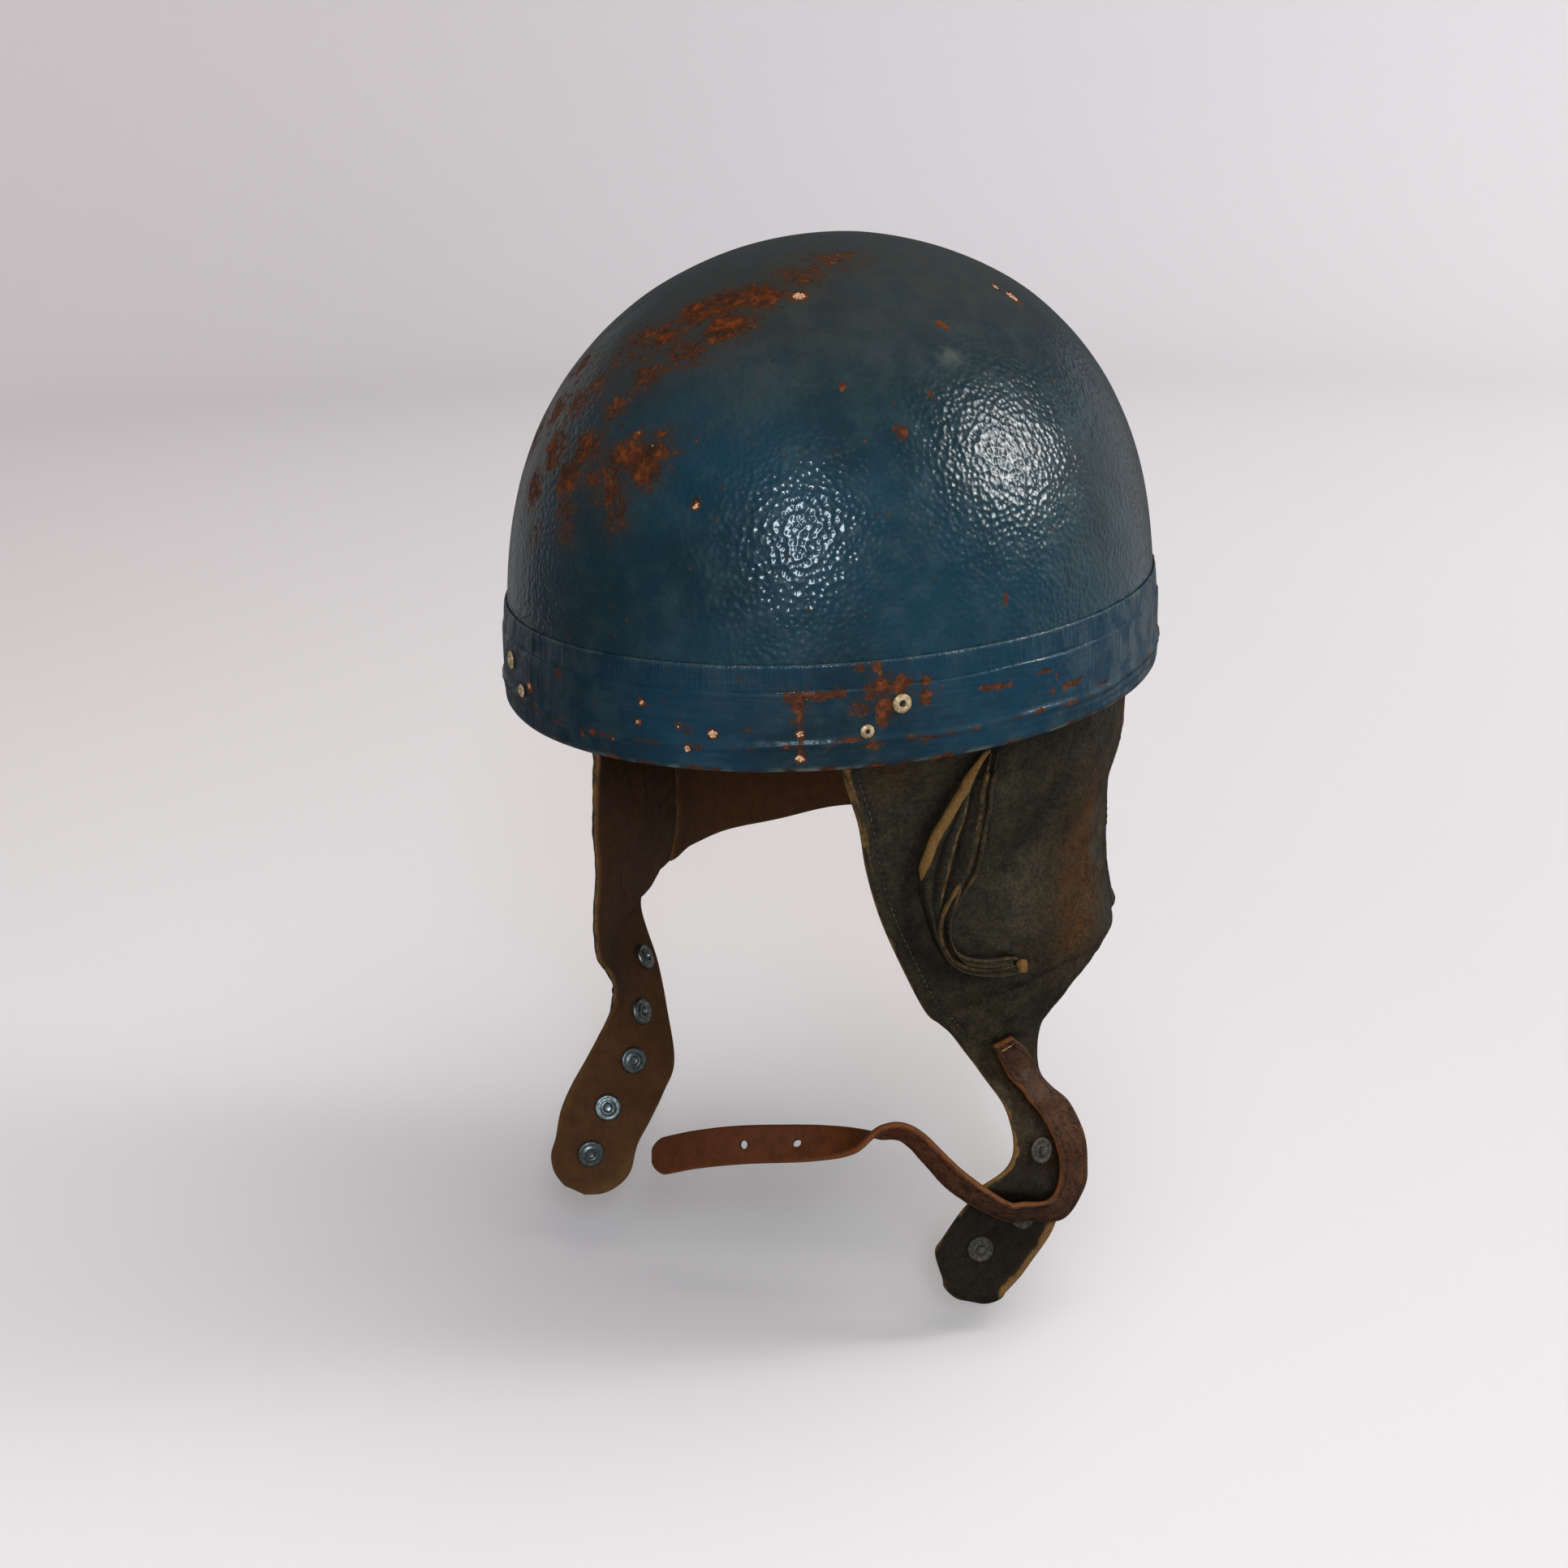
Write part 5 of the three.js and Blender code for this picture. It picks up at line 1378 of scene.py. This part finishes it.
# %% Geometry Nodes: a roll of leather along a line
def even_line(tree, line, step):
    """A curve through a mesh line's points, with new points at an even step."""
    curve = node(tree, "GeometryNodeMeshToCurve", {"Mesh": line}).outputs["Curve"]
    even = node(tree, "GeometryNodeResampleCurve", {"Curve": curve, "Length": step}, mode="LENGTH")
    return even.outputs["Curve"]


def roll_tree():
    tree, start, end = new_tree("leather roll", [("Step", "Float"), ("Sides", "Int"), ("Material", "Material")])
    even = even_line(tree, start.outputs["Geometry"], start.outputs["Step"])
    thick = node(tree, "GeometryNodeInputNamedAttribute", {"Name": "thickness"}, data_type="FLOAT").outputs["Attribute"]
    sized = node(tree, "GeometryNodeSetCurveRadius", {"Curve": even, "Radius": thick})
    circle = node(tree, "GeometryNodeCurvePrimitiveCircle", {"Resolution": start.outputs["Sides"], "Radius": 1.0})
    tube = node(tree, "GeometryNodeCurveToMesh", {
        "Curve": sized.outputs["Curve"], "Profile Curve": circle.outputs["Curve"], "Fill Caps": True,
    })
    if "Scale" in tube.inputs:
        tree.links.new(thick, tube.inputs["Scale"])
    return end_tree(tree, start, end, tube.outputs["Mesh"])


leather_roll = roll_tree()


def line_mesh(name, path, fields=None, vectors=None):
    """A mesh of points joined in a row, with numbers or directions kept at the points."""
    mesh = bpy.data.meshes.new(name)
    count = len(path)
    mesh.from_pydata((np.asarray(path) / 1000).tolist(), [(i, i + 1) for i in range(count - 1)], [])
    keep_fields(mesh, fields or {})
    keep_fields(mesh, vectors or {}, "FLOAT_VECTOR")
    return mesh


roll_points = 120
flap_measure = [10, 90]  # millimetres for one row down a flap, and for its whole width


def smooth_path(places):
    """Even points on a smooth curve through a short table of places."""
    dense = through(np.asarray(places, float), np.linspace(0, len(places) - 1, 40 * len(places)))
    walked = walked_along(dense * flap_measure)
    even = np.linspace(0, walked[-1], roll_points)
    return np.stack([np.interp(even, walked, dense[:, c]) for c in (0, 1)], -1)


def add_roll(name, rows, places, lift, radius, mirror, ends, wear):
    """A roll along places on a flap, at a height over the middle of its leather, thinner at its ends."""
    path = smooth_path(places)
    facing = flap_facing(rows, *path.T)
    points = flap_place(rows, *path.T) + facing * (lift * np.ones(roll_points))[:, None]
    share = np.linspace(0, 1, roll_points)
    first, last = ends
    taper = np.minimum(
        first + (1 - first) * smooth_step(0, 0.2, share), last + (1 - last) * smooth_step(1, 0.85, share))
    cap = np.sqrt(np.clip(1 - np.clip(1 - np.minimum(share, 1 - share) / 0.012, 0, 1) ** 2, 0.02, 1))
    if mirror:
        points = points * to_right
    piece = grow(name, line_mesh(name, points, {"thickness": radius * taper * cap / 1000}), leather_roll, {
        "Step": 0.0006, "Sides": 14, "Material": flap_leather,
    })
    keep_fields(piece.data, {"rubbed": np.full(len(piece.data.vertices), wear)})
    smooth_shaded(piece.data)
    finish_piece(piece, flap_leather, "flap_leather")


def beside(places, offset):
    """The same line moved about `offset` millimetres to one side."""
    places = np.asarray(places, float)
    run = np.gradient(places * flap_measure, axis=0)
    side = unit(np.stack([-run[:, 1], run[:, 0]], -1)) * offset
    return places + side / flap_measure


knot = [(6.18, 0.281), (6.24, 0.279), (6.33, 0.275), (6.42, 0.271)]
share = np.linspace(0, 1, roll_points)
for side, rows, mirror, height in (("left", left_rows, False, 1.0), ("right", right_rows, True, 0.6)):
    front_lift = np.interp(share, [0, 0.25, 0.5, 0.8, 1], [
        2.3, 1.6 + 2.3 * height, 1.8 + 2.8 * height, 2.0 + 2.6 * height, 2.0,
    ])
    welt_lift = np.interp(share, [0, 0.2, 0.6, 0.85, 1], [
        2.2, 1.8 + 2.6 * height, 2.0 + 2.6 * height, 2.0 + 2.0 * height, 2.6,
    ])
    rolls = [
        # name, path, lift, radius, share of the radius at each end, and wear
        ("pocket_binding", pocket_front, front_lift, 1.85, (0.45, 0.15), 1.0),
        ("welt_outer", beside(pocket_welt, -0.8), welt_lift, 0.95, (0.5, 0.8), 0.42),
        ("welt_inner", beside(pocket_welt, 0.9), welt_lift - 0.1, 0.9, (0.5, 0.8), 0.36),
        ("welt_knot", knot, 3.4, 2.1, (0.7, 0.6), 0.95),
    ]
    for label, places, lift, radius, ends, wear in rolls:
        add_roll(f"{side}_{label}", rows, places, lift, radius, mirror, ends, wear)

# %% [markdown]
# ## Chin strap
#
# The strap is bridle leather, thicker and firmer than the flaps, so it keeps the bends it was stored
# in: sewn flat on the waist, down round the tab, half a twist, and forward to its rounded end. It is
# built like the flaps, from a middle line and the direction across it at each step. Two lines are
# creased beside its edges, and the buckle holes are cut with a Boolean, because a hole that has been
# used has a sharp rim that a bump can't give.

# %% The strap's path
strap_width, strap_thick = 14.0, 2.6
# row down the left flap, place across it, rise over it, and share of the strap's width
sewn_places = [(9.3, 0.255, 0.9, 0.55), (10.64, 0.397, 1.3, 0.9), (11.48, 0.42, 1.7, 1), (11.87, 0.438, 2.0, 1)]
# x, y, z of the strap's middle, then the direction across it
free_places = [
    (98.3, -29.2, -152.9, 0.43, 0.90, 0.08), (103.4, -28.2, -163.6, 0.54, 0.83, -0.13),
    (105.5, -28.8, -173.6, 0.43, 0.85, -0.31), (105.9, -32.4, -181.5, 0.41, 0.85, -0.34),
    (103, -40.8, -187.1, 0.22, 0.64, -0.73), (95.3, -49.7, -185.3, -0.09, 0.63, -0.77),
    (89.1, -56.4, -183, -0.25, 0.54, -0.80), (72.9, -62.4, -171.5, -0.46, 0.37, -0.80),
    (56.8, -65.6, -155.6, -0.48, 0.53, -0.70), (48, -71.9, -152.9, -0.39, 0.66, -0.65),
    (38, -74.6, -157, -0.44, 0.88, 0.18), (24, -79.9, -158.3, -0.31, 0.68, 0.67),
    (0, -86.3, -160.8, -0.18, 0.41, 0.90), (-18, -88.5, -165.2, -0.18, 0.41, 0.89),
    (-31, -88.5, -170.2, -0.24, 0.51, 0.83),
]
sewn = np.array(sewn_places)
seat_out = flap_facing(left_rows, sewn[:, 0], sewn[:, 1])
seat_gap = (2 * leather_half + strap_thick) / 2 + 0.6 + sewn[:, 2]
seat_at = flap_place(left_rows, sewn[:, 0], sewn[:, 1]) + seat_out * seat_gap[:, None]
seat_run = np.array([seat_at[min(i + 1, 3)] - seat_at[max(i - 1, 0)] for i in range(4)])
seat_edge = unit(np.cross(seat_out, seat_run))
free = np.array(free_places)
strap_at = np.vstack([seat_at, free[:, :3]])
strap_edge = unit(np.vstack([seat_edge, free[:, 3:]]))
half = strap_edge * strap_width / 2
half[:4] *= sewn[:, 3:]
strap_rows = rounded_off(np.hstack([strap_at - half, strap_at + half, np.zeros((len(strap_at), 1))]))
dense = np.linspace(0, len(strap_rows) - 1, 3000)
row = through(strap_rows, dense)
walked = walked_along((row[:, :3] + row[:, 3:6]) / 2)
strap_long = walked[-1]
print("strap length", round(strap_long, 1), "mm")

# %% Build the strap
tip_steps = np.array([0, 0.1, 0.3, 0.6, 0.95, 1.4])
steps = np.concatenate([tip_steps, np.linspace(2.1, strap_long - 2.1, 250), strap_long - tip_steps[::-1]])
strap_t = np.interp(steps, walked, dense)
row = through(strap_rows, strap_t)
front, across = row[:, None, :3], (row[:, 3:6] - row[:, :3])[:, None]
near = np.array([0, 0.1, 0.3, 0.6, 0.95, 1.35, 1.8, 2.2, 2.6])
columns = np.concatenate([near, np.linspace(3.2, 10.8, 12), strap_width - near[::-1]]) / strap_width
middle = front + across * columns[None, :, None]
wide = np.linalg.norm(across, axis=-1)
from_side = np.minimum(columns, 1 - columns)[None] * wide
from_tip = np.broadcast_to(np.minimum(steps, strap_long - steps)[:, None], from_side.shape)
edge = np.minimum(from_side, from_tip)
outward = grid_normals(middle)
half = strap_thick / 2 * rounded_edge(edge, 1.15)
fade = np.clip(edge, 0, 1)
crease_in = 2.2
creased = -0.30 * bump_line(from_side - crease_in, 0.32) * smooth_step(0, 2, from_tip)
wrinkle = 0.10 * ripple(middle, 4.5, 61) + 0.12 * ripple(middle, 11, 62)
bent = smooth_step(95, 102, steps)[:, None] * smooth_step(152, 142, steps)[:, None]
wrinkle = wrinkle + 0.16 * ripple(middle, 3.0, 63) * bent
outer = middle + outward * (half + (creased + wrinkle) * fade)[..., None]
inner = middle - outward * (half - 0.06 * ripple(middle, 6, 64) * fade)[..., None]
join_border(outer, middle)
ragged = 0.5 + 0.5 * ripple(middle, 5, 65)
old_stitch = smooth_step(62, 50, steps)[:, None]
cracks = bump_line(ripple(middle, 5, 66), 0.12)
fields = {
    "rubbed": np.maximum.reduce([
        0.62 * np.clip(1 - edge / (0.8 + 0.7 * ragged), 0, 1),
        0.6 * smooth_step(3, 0, steps)[:, None] * ragged,
        0.3 * old_stitch * bump_line(columns[None] * wide - 2.3, 0.6) * ragged,
    ]),
    "warm": np.broadcast_to(smooth_step(105, 150, steps)[:, None], edge.shape),
    "grime_and_shade": np.clip(0.5 * bump_line(from_side - crease_in, 0.4) + 0.5 * bent * cracks, 0, 1),
    "inside": np.zeros(edge.shape),
}
strap_outer, strap_outward = outer, outward
strap = wall("punched_strap", outer, inner, fields, {"inside": np.ones(edge.shape) * 0.75, "grime_and_shade": edge * 0})

# %% Punch the buckle holes
hole_radius = 1.6
for hole_t in (15.23, 16):
    here, after = through(strap_rows, np.array(hole_t)), through(strap_rows, np.array(hole_t + 0.1))
    spot = (here[:3] + here[3:6]) / 2
    way = unit(np.cross((after[:3] + after[3:6]) / 2 - spot, here[3:6] - here[:3]))
    punch = turned("punch", [(0, -7), (hole_radius, -7), (hole_radius, 7), (0, 7)], 24)
    facing = Vector(way).to_track_quat("Z", "Y").to_matrix().to_4x4()
    punch.matrix_world = Matrix.Translation(Vector(spot / 1000)) @ facing
    bpy.context.collection.objects.link(punch)
    cut = strap.modifiers.new("buckle hole", "BOOLEAN")
    cut.operation, cut.object, cut.solver = "DIFFERENCE", punch, "EXACT"
    bpy.context.view_layer.update()
    cut_mesh = bpy.data.meshes.new_from_object(strap.evaluated_get(bpy.context.evaluated_depsgraph_get()))
    strap.modifiers.clear()
    strap.data = cut_mesh
    bpy.data.objects.remove(punch)

strap_leather = old_leather(
    "strap_leather", srgb(58, 36, 23), srgb(76, 49, 33), srgb(106, 62, 26), srgb(84, 38, 9), srgb(76, 38, 14),
    grain=1100.0, gloss=0.36, depth=0.14)
finish_piece(strap, strap_leather, "strap_leather", "chin_strap")

# %% [markdown]
# ## Press studs
#
# The left tab carries the studs, the right one their sockets, each with a plain cap on the far side of
# the leather. A stud is a dished ring round a small ball; a socket is a rolled ring round a hole. They
# stand on the same places of the leather that the holes were punched at.

# %% Studs and sockets
def snap_profile(face):
    """Face profile over the leather, then the post through it and the cap behind."""
    seat = 1.6
    back_cap = [(1.4, -0.2), (1.4, -2.9), (4.3, -2.9), (4.6, -3.15), (4.45, -3.5), (3.4, -3.8), (1.8, -3.95), (0, -4.0)]
    return [(r, y + seat) for r, y in face + back_cap]


stud_face = [
    (0, 2.8), (0.8, 2.75), (1.45, 2.5), (1.85, 2.05), (1.9, 1.6), (1.7, 1.2), (1.8, 0.9), (2.3, 0.75), (3.0, 0.72),
    (3.6, 0.9), (4.1, 1.05), (4.5, 0.92), (4.8, 0.5), (4.9, 0.15), (4.7, -0.15), (2.0, -0.2),
]
socket_face = [
    (0, 0.35), (1.1, 0.35), (1.45, 0.45), (1.6, 0.9), (1.8, 1.4), (2.25, 1.58), (2.7, 1.45), (3.1, 1.2), (3.8, 1.15),
    (4.4, 1.3), (4.85, 1.15), (5.2, 0.65), (5.3, 0.2), (5.1, -0.1), (2.0, -0.15),
]
stud_places = [(13.35, 0.33), (16.7, 0.6), (17.95, 0.39)]
socket_places = [(9.8, 0.8), (11.1, 0.54), (12.4, 0.5), (14.2, 0.49), (16.0, 0.46)]


def flap_seats(rows, places, side=1, flip=(1, 1, 1)):
    """Places on a flap with the way they face; side -1 is the leather's back, flip mirrors them."""
    t, s = np.array(places).T
    return list(zip(flap_place(rows, t, s) * flip, flap_facing(rows, t, s) * side * flip))


stud = turned("stud_shape", snap_profile(stud_face))
socket = turned("socket_shape", snap_profile(socket_face))
stud_seats = flap_seats(left_rows, stud_places)
socket_seats = flap_seats(right_rows, socket_places, -1, to_right)
stud_nodes = [f"snap_stud_{k}" for k in (1, 2, 3)]
socket_nodes = [f"snap_socket_{k}" for k in (1, 2, 3, 4, 5)]
# The studs' darker metal is partly patina and partly painted shade.
put_on_seats("press_stud", stud, stud_seats, stud_metal, "snap_metal", *stud_nodes)
put_on_seats("press_socket", socket, socket_seats, snap_metal, "snap_metal", *socket_nodes, seed=9)

# %% [markdown]
# ## Buckle
#
# The strap's holes call for a buckle on the other side: a bent wire frame with one prong, held by a
# short leather chape that is sewn to the right flap. Wire is a circle carried along a line. The frame
# is a closed loop, so its circles are joined up as a ring. The prong has two ends, so the tree for
# leather rolls makes it, with a metal finish.

# %% Where the buckle stands
buckle_width, buckle_length, wire, bar_drop = 20.0, 17.0, 2.4, 1.8
# rows down the right flap, then the middle and half width as shares of its width
chape_top, chape_end, chape_run, chape_middle, chape_reach = 9.1, 10.3, 1.2, 0.575, 0.115
chape_t = chape_top + (chape_end - chape_top) * np.linspace(0, 1, 46)
chape_s = chape_middle + chape_reach * np.linspace(-1, 1, 31)
t_grid, s_grid = np.meshgrid(chape_t, chape_s, indexing="ij")
chape_out = flap_facing(right_rows, t_grid, s_grid)
chape_lift = 1 + 0.6 + 0.9 + 2 * ((t_grid - chape_top) / chape_run) ** 2
chape_mid = flap_place(right_rows, t_grid, s_grid) + chape_out * chape_lift[..., None]

end_s = chape_middle + chape_reach * np.array([-1, 0, 1])
before, ends = (
    flap_place(right_rows, np.full(3, t), end_s) + flap_facing(right_rows, np.full(3, t), end_s) * lift
    for t, lift in ((chape_top + chape_run * share, 2.5 + 2 * share ** 2) for share in (0.8, 1.0))
)
bar_way = unit(ends[2] - ends[0])
onward = unit(ends[1] - before[1])
away = unit(np.cross(onward, bar_way))
tilt = math.radians(4)
frame_down = np.cross(bar_way, away) * math.cos(tilt) + away * math.sin(tilt)
frame_out = np.cross(bar_way, frame_down)
bar_at = ends[1] + onward * bar_drop


def on_frame(x, y, z):
    """A place counted along the bar, down the frame and away from the leather, mirrored to the right."""
    return (bar_at + bar_way * x + frame_down * y + frame_out * z) * to_right


# %% Buckle frame and prong
def rounded_loop(half_x, y_high, corner):
    """Points round a rectangle with round corners, which stands on y = 0."""
    loop = []
    for cx, cy, first in ((half_x - corner, y_high - corner, 0), (corner - half_x, y_high - corner, 90),
                          (corner - half_x, corner, 180), (half_x - corner, corner, 270)):
        for angle in np.radians(np.linspace(first, first + 90, 10)):
            loop.append((cx + corner * math.cos(angle), cy + corner * math.sin(angle)))
    return loop


loop = rounded_loop(buckle_width / 2 - wire / 2, buckle_length, 3.2)
loop_points = np.array([on_frame(x, y, 0) for x, y in loop])
around = np.linspace(0, 2 * math.pi, 16, endpoint=False)
tangent = unit(np.roll(loop_points, -1, 0) - np.roll(loop_points, 1, 0))
plate = unit(frame_out * to_right)
sideways = unit(np.cross(tangent, plate))
round_wire = sideways[:, None] * np.cos(around)[None, :, None] + plate * np.sin(around)[None, :, None]
buckle = ring("buckle_frame", loop_points[:, None] + round_wire * wire / 2)
prong_side = [(-1.9, 0.4), (-1.2, 1.9), (0.6, 2.3), (3, 1.9), (9, 1.6), (14.5, 1.7), (17.2, 1.9), (18.1, 1.5)]
prong_line = through([on_frame(0.0, y, z) for y, z in prong_side], np.linspace(0, 7, 60))
prong_thick = np.interp(np.linspace(0, 1, 60), [0, 0.05, 0.9, 1], [0.5, 0.95, 0.8, 0.25]) / 1000
prong = grow("buckle_prong", line_mesh("prong", prong_line, {"thickness": prong_thick}), leather_roll, {
    "Step": 0.0005, "Sides": 14, "Material": snap_metal,
})
faces_outward(buckle)
faces_outward(prong)
smooth_shaded(prong.data)
finish_piece(buckle, snap_metal, "snap_metal", "strap_buckle")
finish_piece(prong, snap_metal, "snap_metal")

# %% Buckle chape
chape_half, groove_in = 0.9, 1.9
down_run = walked_along(chape_mid[:, 15])
side_run = np.linalg.norm(chape_mid - chape_mid[:, :1], axis=-1)
edge = np.minimum.reduce([side_run, side_run[:, -1:] - side_run, np.broadcast_to(down_run[:, None], side_run.shape)])
edge = np.minimum(edge, (down_run[-1] - down_run)[:, None] + chape_half)
half = chape_half * rounded_edge(edge, chape_half)
groove = -0.22 * bump_line(edge - groove_in, 0.35)
outer, inner = chape_mid + chape_out * (half + groove)[..., None], chape_mid - chape_out * (half + 0.5)[..., None]
join_border(outer, chape_mid)
ragged = 0.5 + 0.5 * ripple(chape_mid, 4, 71)
chape = wall("chape", outer[:, ::-1] * to_right, inner[:, ::-1] * to_right, turned_over({
    "rubbed": np.clip(1 - edge / (0.8 + ragged), 0, 1), "warm": 0.3 + 0 * edge,
    "grime_and_shade": 0.5 * bump_line(edge - groove_in, 0.4), "inside": 0 * edge,
}))
finish_piece(chape, strap_leather, "strap_leather", "buckle_chape")

# %% The chape's rolled end, round the bar
angle = np.linspace(0, 2 * math.pi, 26, endpoint=False)
length_steps = np.concatenate([[-7.0, -6.9, -6.6], np.linspace(-6, 6, 16), [6.6, 6.9, 7.0]])
barrel_radius = 3.0 - 0.55 * np.clip((np.abs(length_steps) - 6.0), 0, 1) ** 2
bore_radius = np.full(length_steps.shape, 1.5)
skin, bore = (
    np.array([[on_frame(x, r * math.cos(a), r * math.sin(a)) for x, r in zip(length_steps, radius)] for a in angle])
    for radius in (barrel_radius, bore_radius)
)
barrel = ring("chape_barrel", np.concatenate([skin, bore[:, ::-1]], 1))
faces_outward(barrel)
finish_piece(barrel, strap_leather, "strap_leather")

# %% [markdown]
# ## Stitches
#
# Every seam is the same thing repeated: a short thread that dips into the leather at both ends. The
# tree walks a line, and at an even pitch it sets a small thread along the line and against the
# surface, with a seeded wobble. A row needs only a line of points, each with the direction it faces.

# %% Geometry Nodes: a row of stitches
def stitch_tree():
    tree, start, end = new_tree("stitch row", [
        ("Pitch", "Float"), ("Length", "Float"), ("Thread", "Float"), ("Wobble", "Float"), ("Seed", "Int"),
        ("Material", "Material"),
    ])
    even = even_line(tree, start.outputs["Geometry"], start.outputs["Pitch"])
    facing = node(tree, "GeometryNodeInputNamedAttribute", {"Name": "facing"}, data_type="FLOAT_VECTOR")
    along = node(tree, "GeometryNodeInputTangent")
    axes = node(tree, "FunctionNodeAxesToRotation", {
        "Primary Axis": facing.outputs["Attribute"], "Secondary Axis": along.outputs["Tangent"],
    }, primary_axis="Z", secondary_axis="X")
    sway = node(tree, "FunctionNodeRandomValue", {"Seed": start.outputs["Seed"]}, data_type="FLOAT")
    tree.links.new(maths(tree, "MULTIPLY", start.outputs["Wobble"], -1.0), sway.inputs[2])
    tree.links.new(start.outputs["Wobble"], sway.inputs[3])
    ball = node(tree, "GeometryNodeMeshUVSphere", {"Segments": 7, "Rings": 6, "Radius": 0.5})
    size = node(tree, "ShaderNodeCombineXYZ", {
        "X": start.outputs["Length"], "Y": start.outputs["Thread"], "Z": start.outputs["Thread"],
    })
    placed = node(tree, "GeometryNodeInstanceOnPoints", {
        "Points": even, "Instance": ball.outputs["Mesh"], "Scale": size.outputs["Vector"],
        "Rotation": twisted(tree, axes.outputs["Rotation"], sway.outputs[1]),
    })
    return end_tree(tree, start, end, placed.outputs["Instances"])


stitch_row = stitch_tree()

# %% Waxed thread
thread_material, thread_tree, thread_shader = shader("waxed_thread", Roughness=0.62)
thread_place = node(thread_tree, "ShaderNodeTexCoord").outputs["Object"]
strand = noise(thread_tree, thread_place, 900, 3.0)
patchy = noise(thread_tree, thread_place, 60, 2.0)
tone = mix(thread_tree, between(thread_tree, strand, 0.35, 0.65), srgb(44, 38, 26), srgb(84, 72, 50))
tone = mix(thread_tree, between(thread_tree, patchy, 0.45, 0.62, 0, 0.8), tone, srgb(38, 33, 25))
thread_tree.links.new(tone, thread_shader.inputs["Base Color"])
thread_tree.links.new(bump(thread_tree, strand, 0.4, 0.0002), thread_shader.inputs["Normal"])

# %% Sew the hems and seams
flap_stitch = {"Pitch": 0.0026, "Length": 0.0019, "Thread": 0.0005}


def sew(name, points, facing, lift, seed, stitch=flap_stitch, material=thread_material, slot="flap_leather"):
    """A row of stitches along a line on the leather, lifted out of it by a fraction of a millimetre."""
    line = line_mesh(name, points + facing * lift, vectors={"facing": facing})
    piece = grow(name, line, stitch_row, {**stitch, "Wobble": 0.12, "Seed": seed, "Material": material})
    smooth_shaded(piece.data)
    finish_piece(piece, material, slot)
    return piece


def flap_line(leather, rows, t_range, distance, rear):
    """A line at a distance from a flap's edge, on the outer face of the leather."""
    t = np.linspace(*t_range, 160)
    row = through(rows, t)
    width = np.linalg.norm(row[:, 3:6] - row[:, :3], axis=1)
    s = distance / width
    s = 1 - s if rear else s
    points = at_places(leather["outer"], leather["t"], leather["s"], t, s)
    return points, flap_facing(rows, t, s)


for side, leather, rows, flip in (("left", left_leather, left_rows, 1), ("right", right_leather, right_rows, to_right)):
    seams = [("hem", (0.75, 9.4), False, 20), ("rear_seam", (0.8, 7.0), True, 21)]
    for label, t_range, rear, seed in seams:
        points, facing = flap_line(leather, rows, t_range, seam_in, rear)
        sew(f"{side}_{label}_stitches", points * flip, facing * flip, 0.08, seed)

sew("curtain_hem_stitches", curtain_hem, hem_outward, 0.1, 40)

# %% Stitches at the strap's sewn end
strap_thread, strap_tree, strap_surface = shader("strap_thread", Roughness=0.6)
strap_place = node(strap_tree, "ShaderNodeTexCoord").outputs["Object"]
strap_strand = noise(strap_tree, strap_place, 500, 3.0)
strap_tone = mix(strap_tree, between(strap_tree, strap_strand, 0.35, 0.65), srgb(46, 29, 20), srgb(70, 45, 30))
strap_tone = mix(strap_tree, field(strap_tree, "bleached"), strap_tone, srgb(150, 104, 62))
strap_tree.links.new(strap_tone, strap_surface.inputs["Base Color"])
strap_stitch = {"Pitch": 0.0034, "Length": 0.0027, "Thread": 0.0006}
first_row, last_row = np.searchsorted(steps, [2.6, 52.0])
left_column, right_column = (int(np.argmin(np.abs(columns - across / strap_width))) for across in (2.4, 11.6))
down = slice(first_row, last_row)
strap_seams = [((down, left_column), 0.0), ((down, right_column), 0.0), ((first_row, slice(12, -12)), 1.0)]
for k, (seam, bleached) in enumerate(strap_seams):
    threads = sew(
        f"strap_stitches_{k + 1}", strap_outer[seam], strap_outward[seam], 0.05, 50 + k, strap_stitch,
        strap_thread, "strap_leather")
    keep_fields(threads.data, {"bleached": np.full(len(threads.data.vertices), bleached)})

# %% [markdown]
# ## Clear away the patterns

# The finished model has to fill the same box as the plain solids, apart from what soft leather may
# stand proud.

# %% Patterns
# the turned shapes were only patterns for the rivets and studs
for pattern in [o for o in bpy.data.objects if o.type == "MESH" and not o.users_collection]:
    bpy.data.objects.remove(pattern)
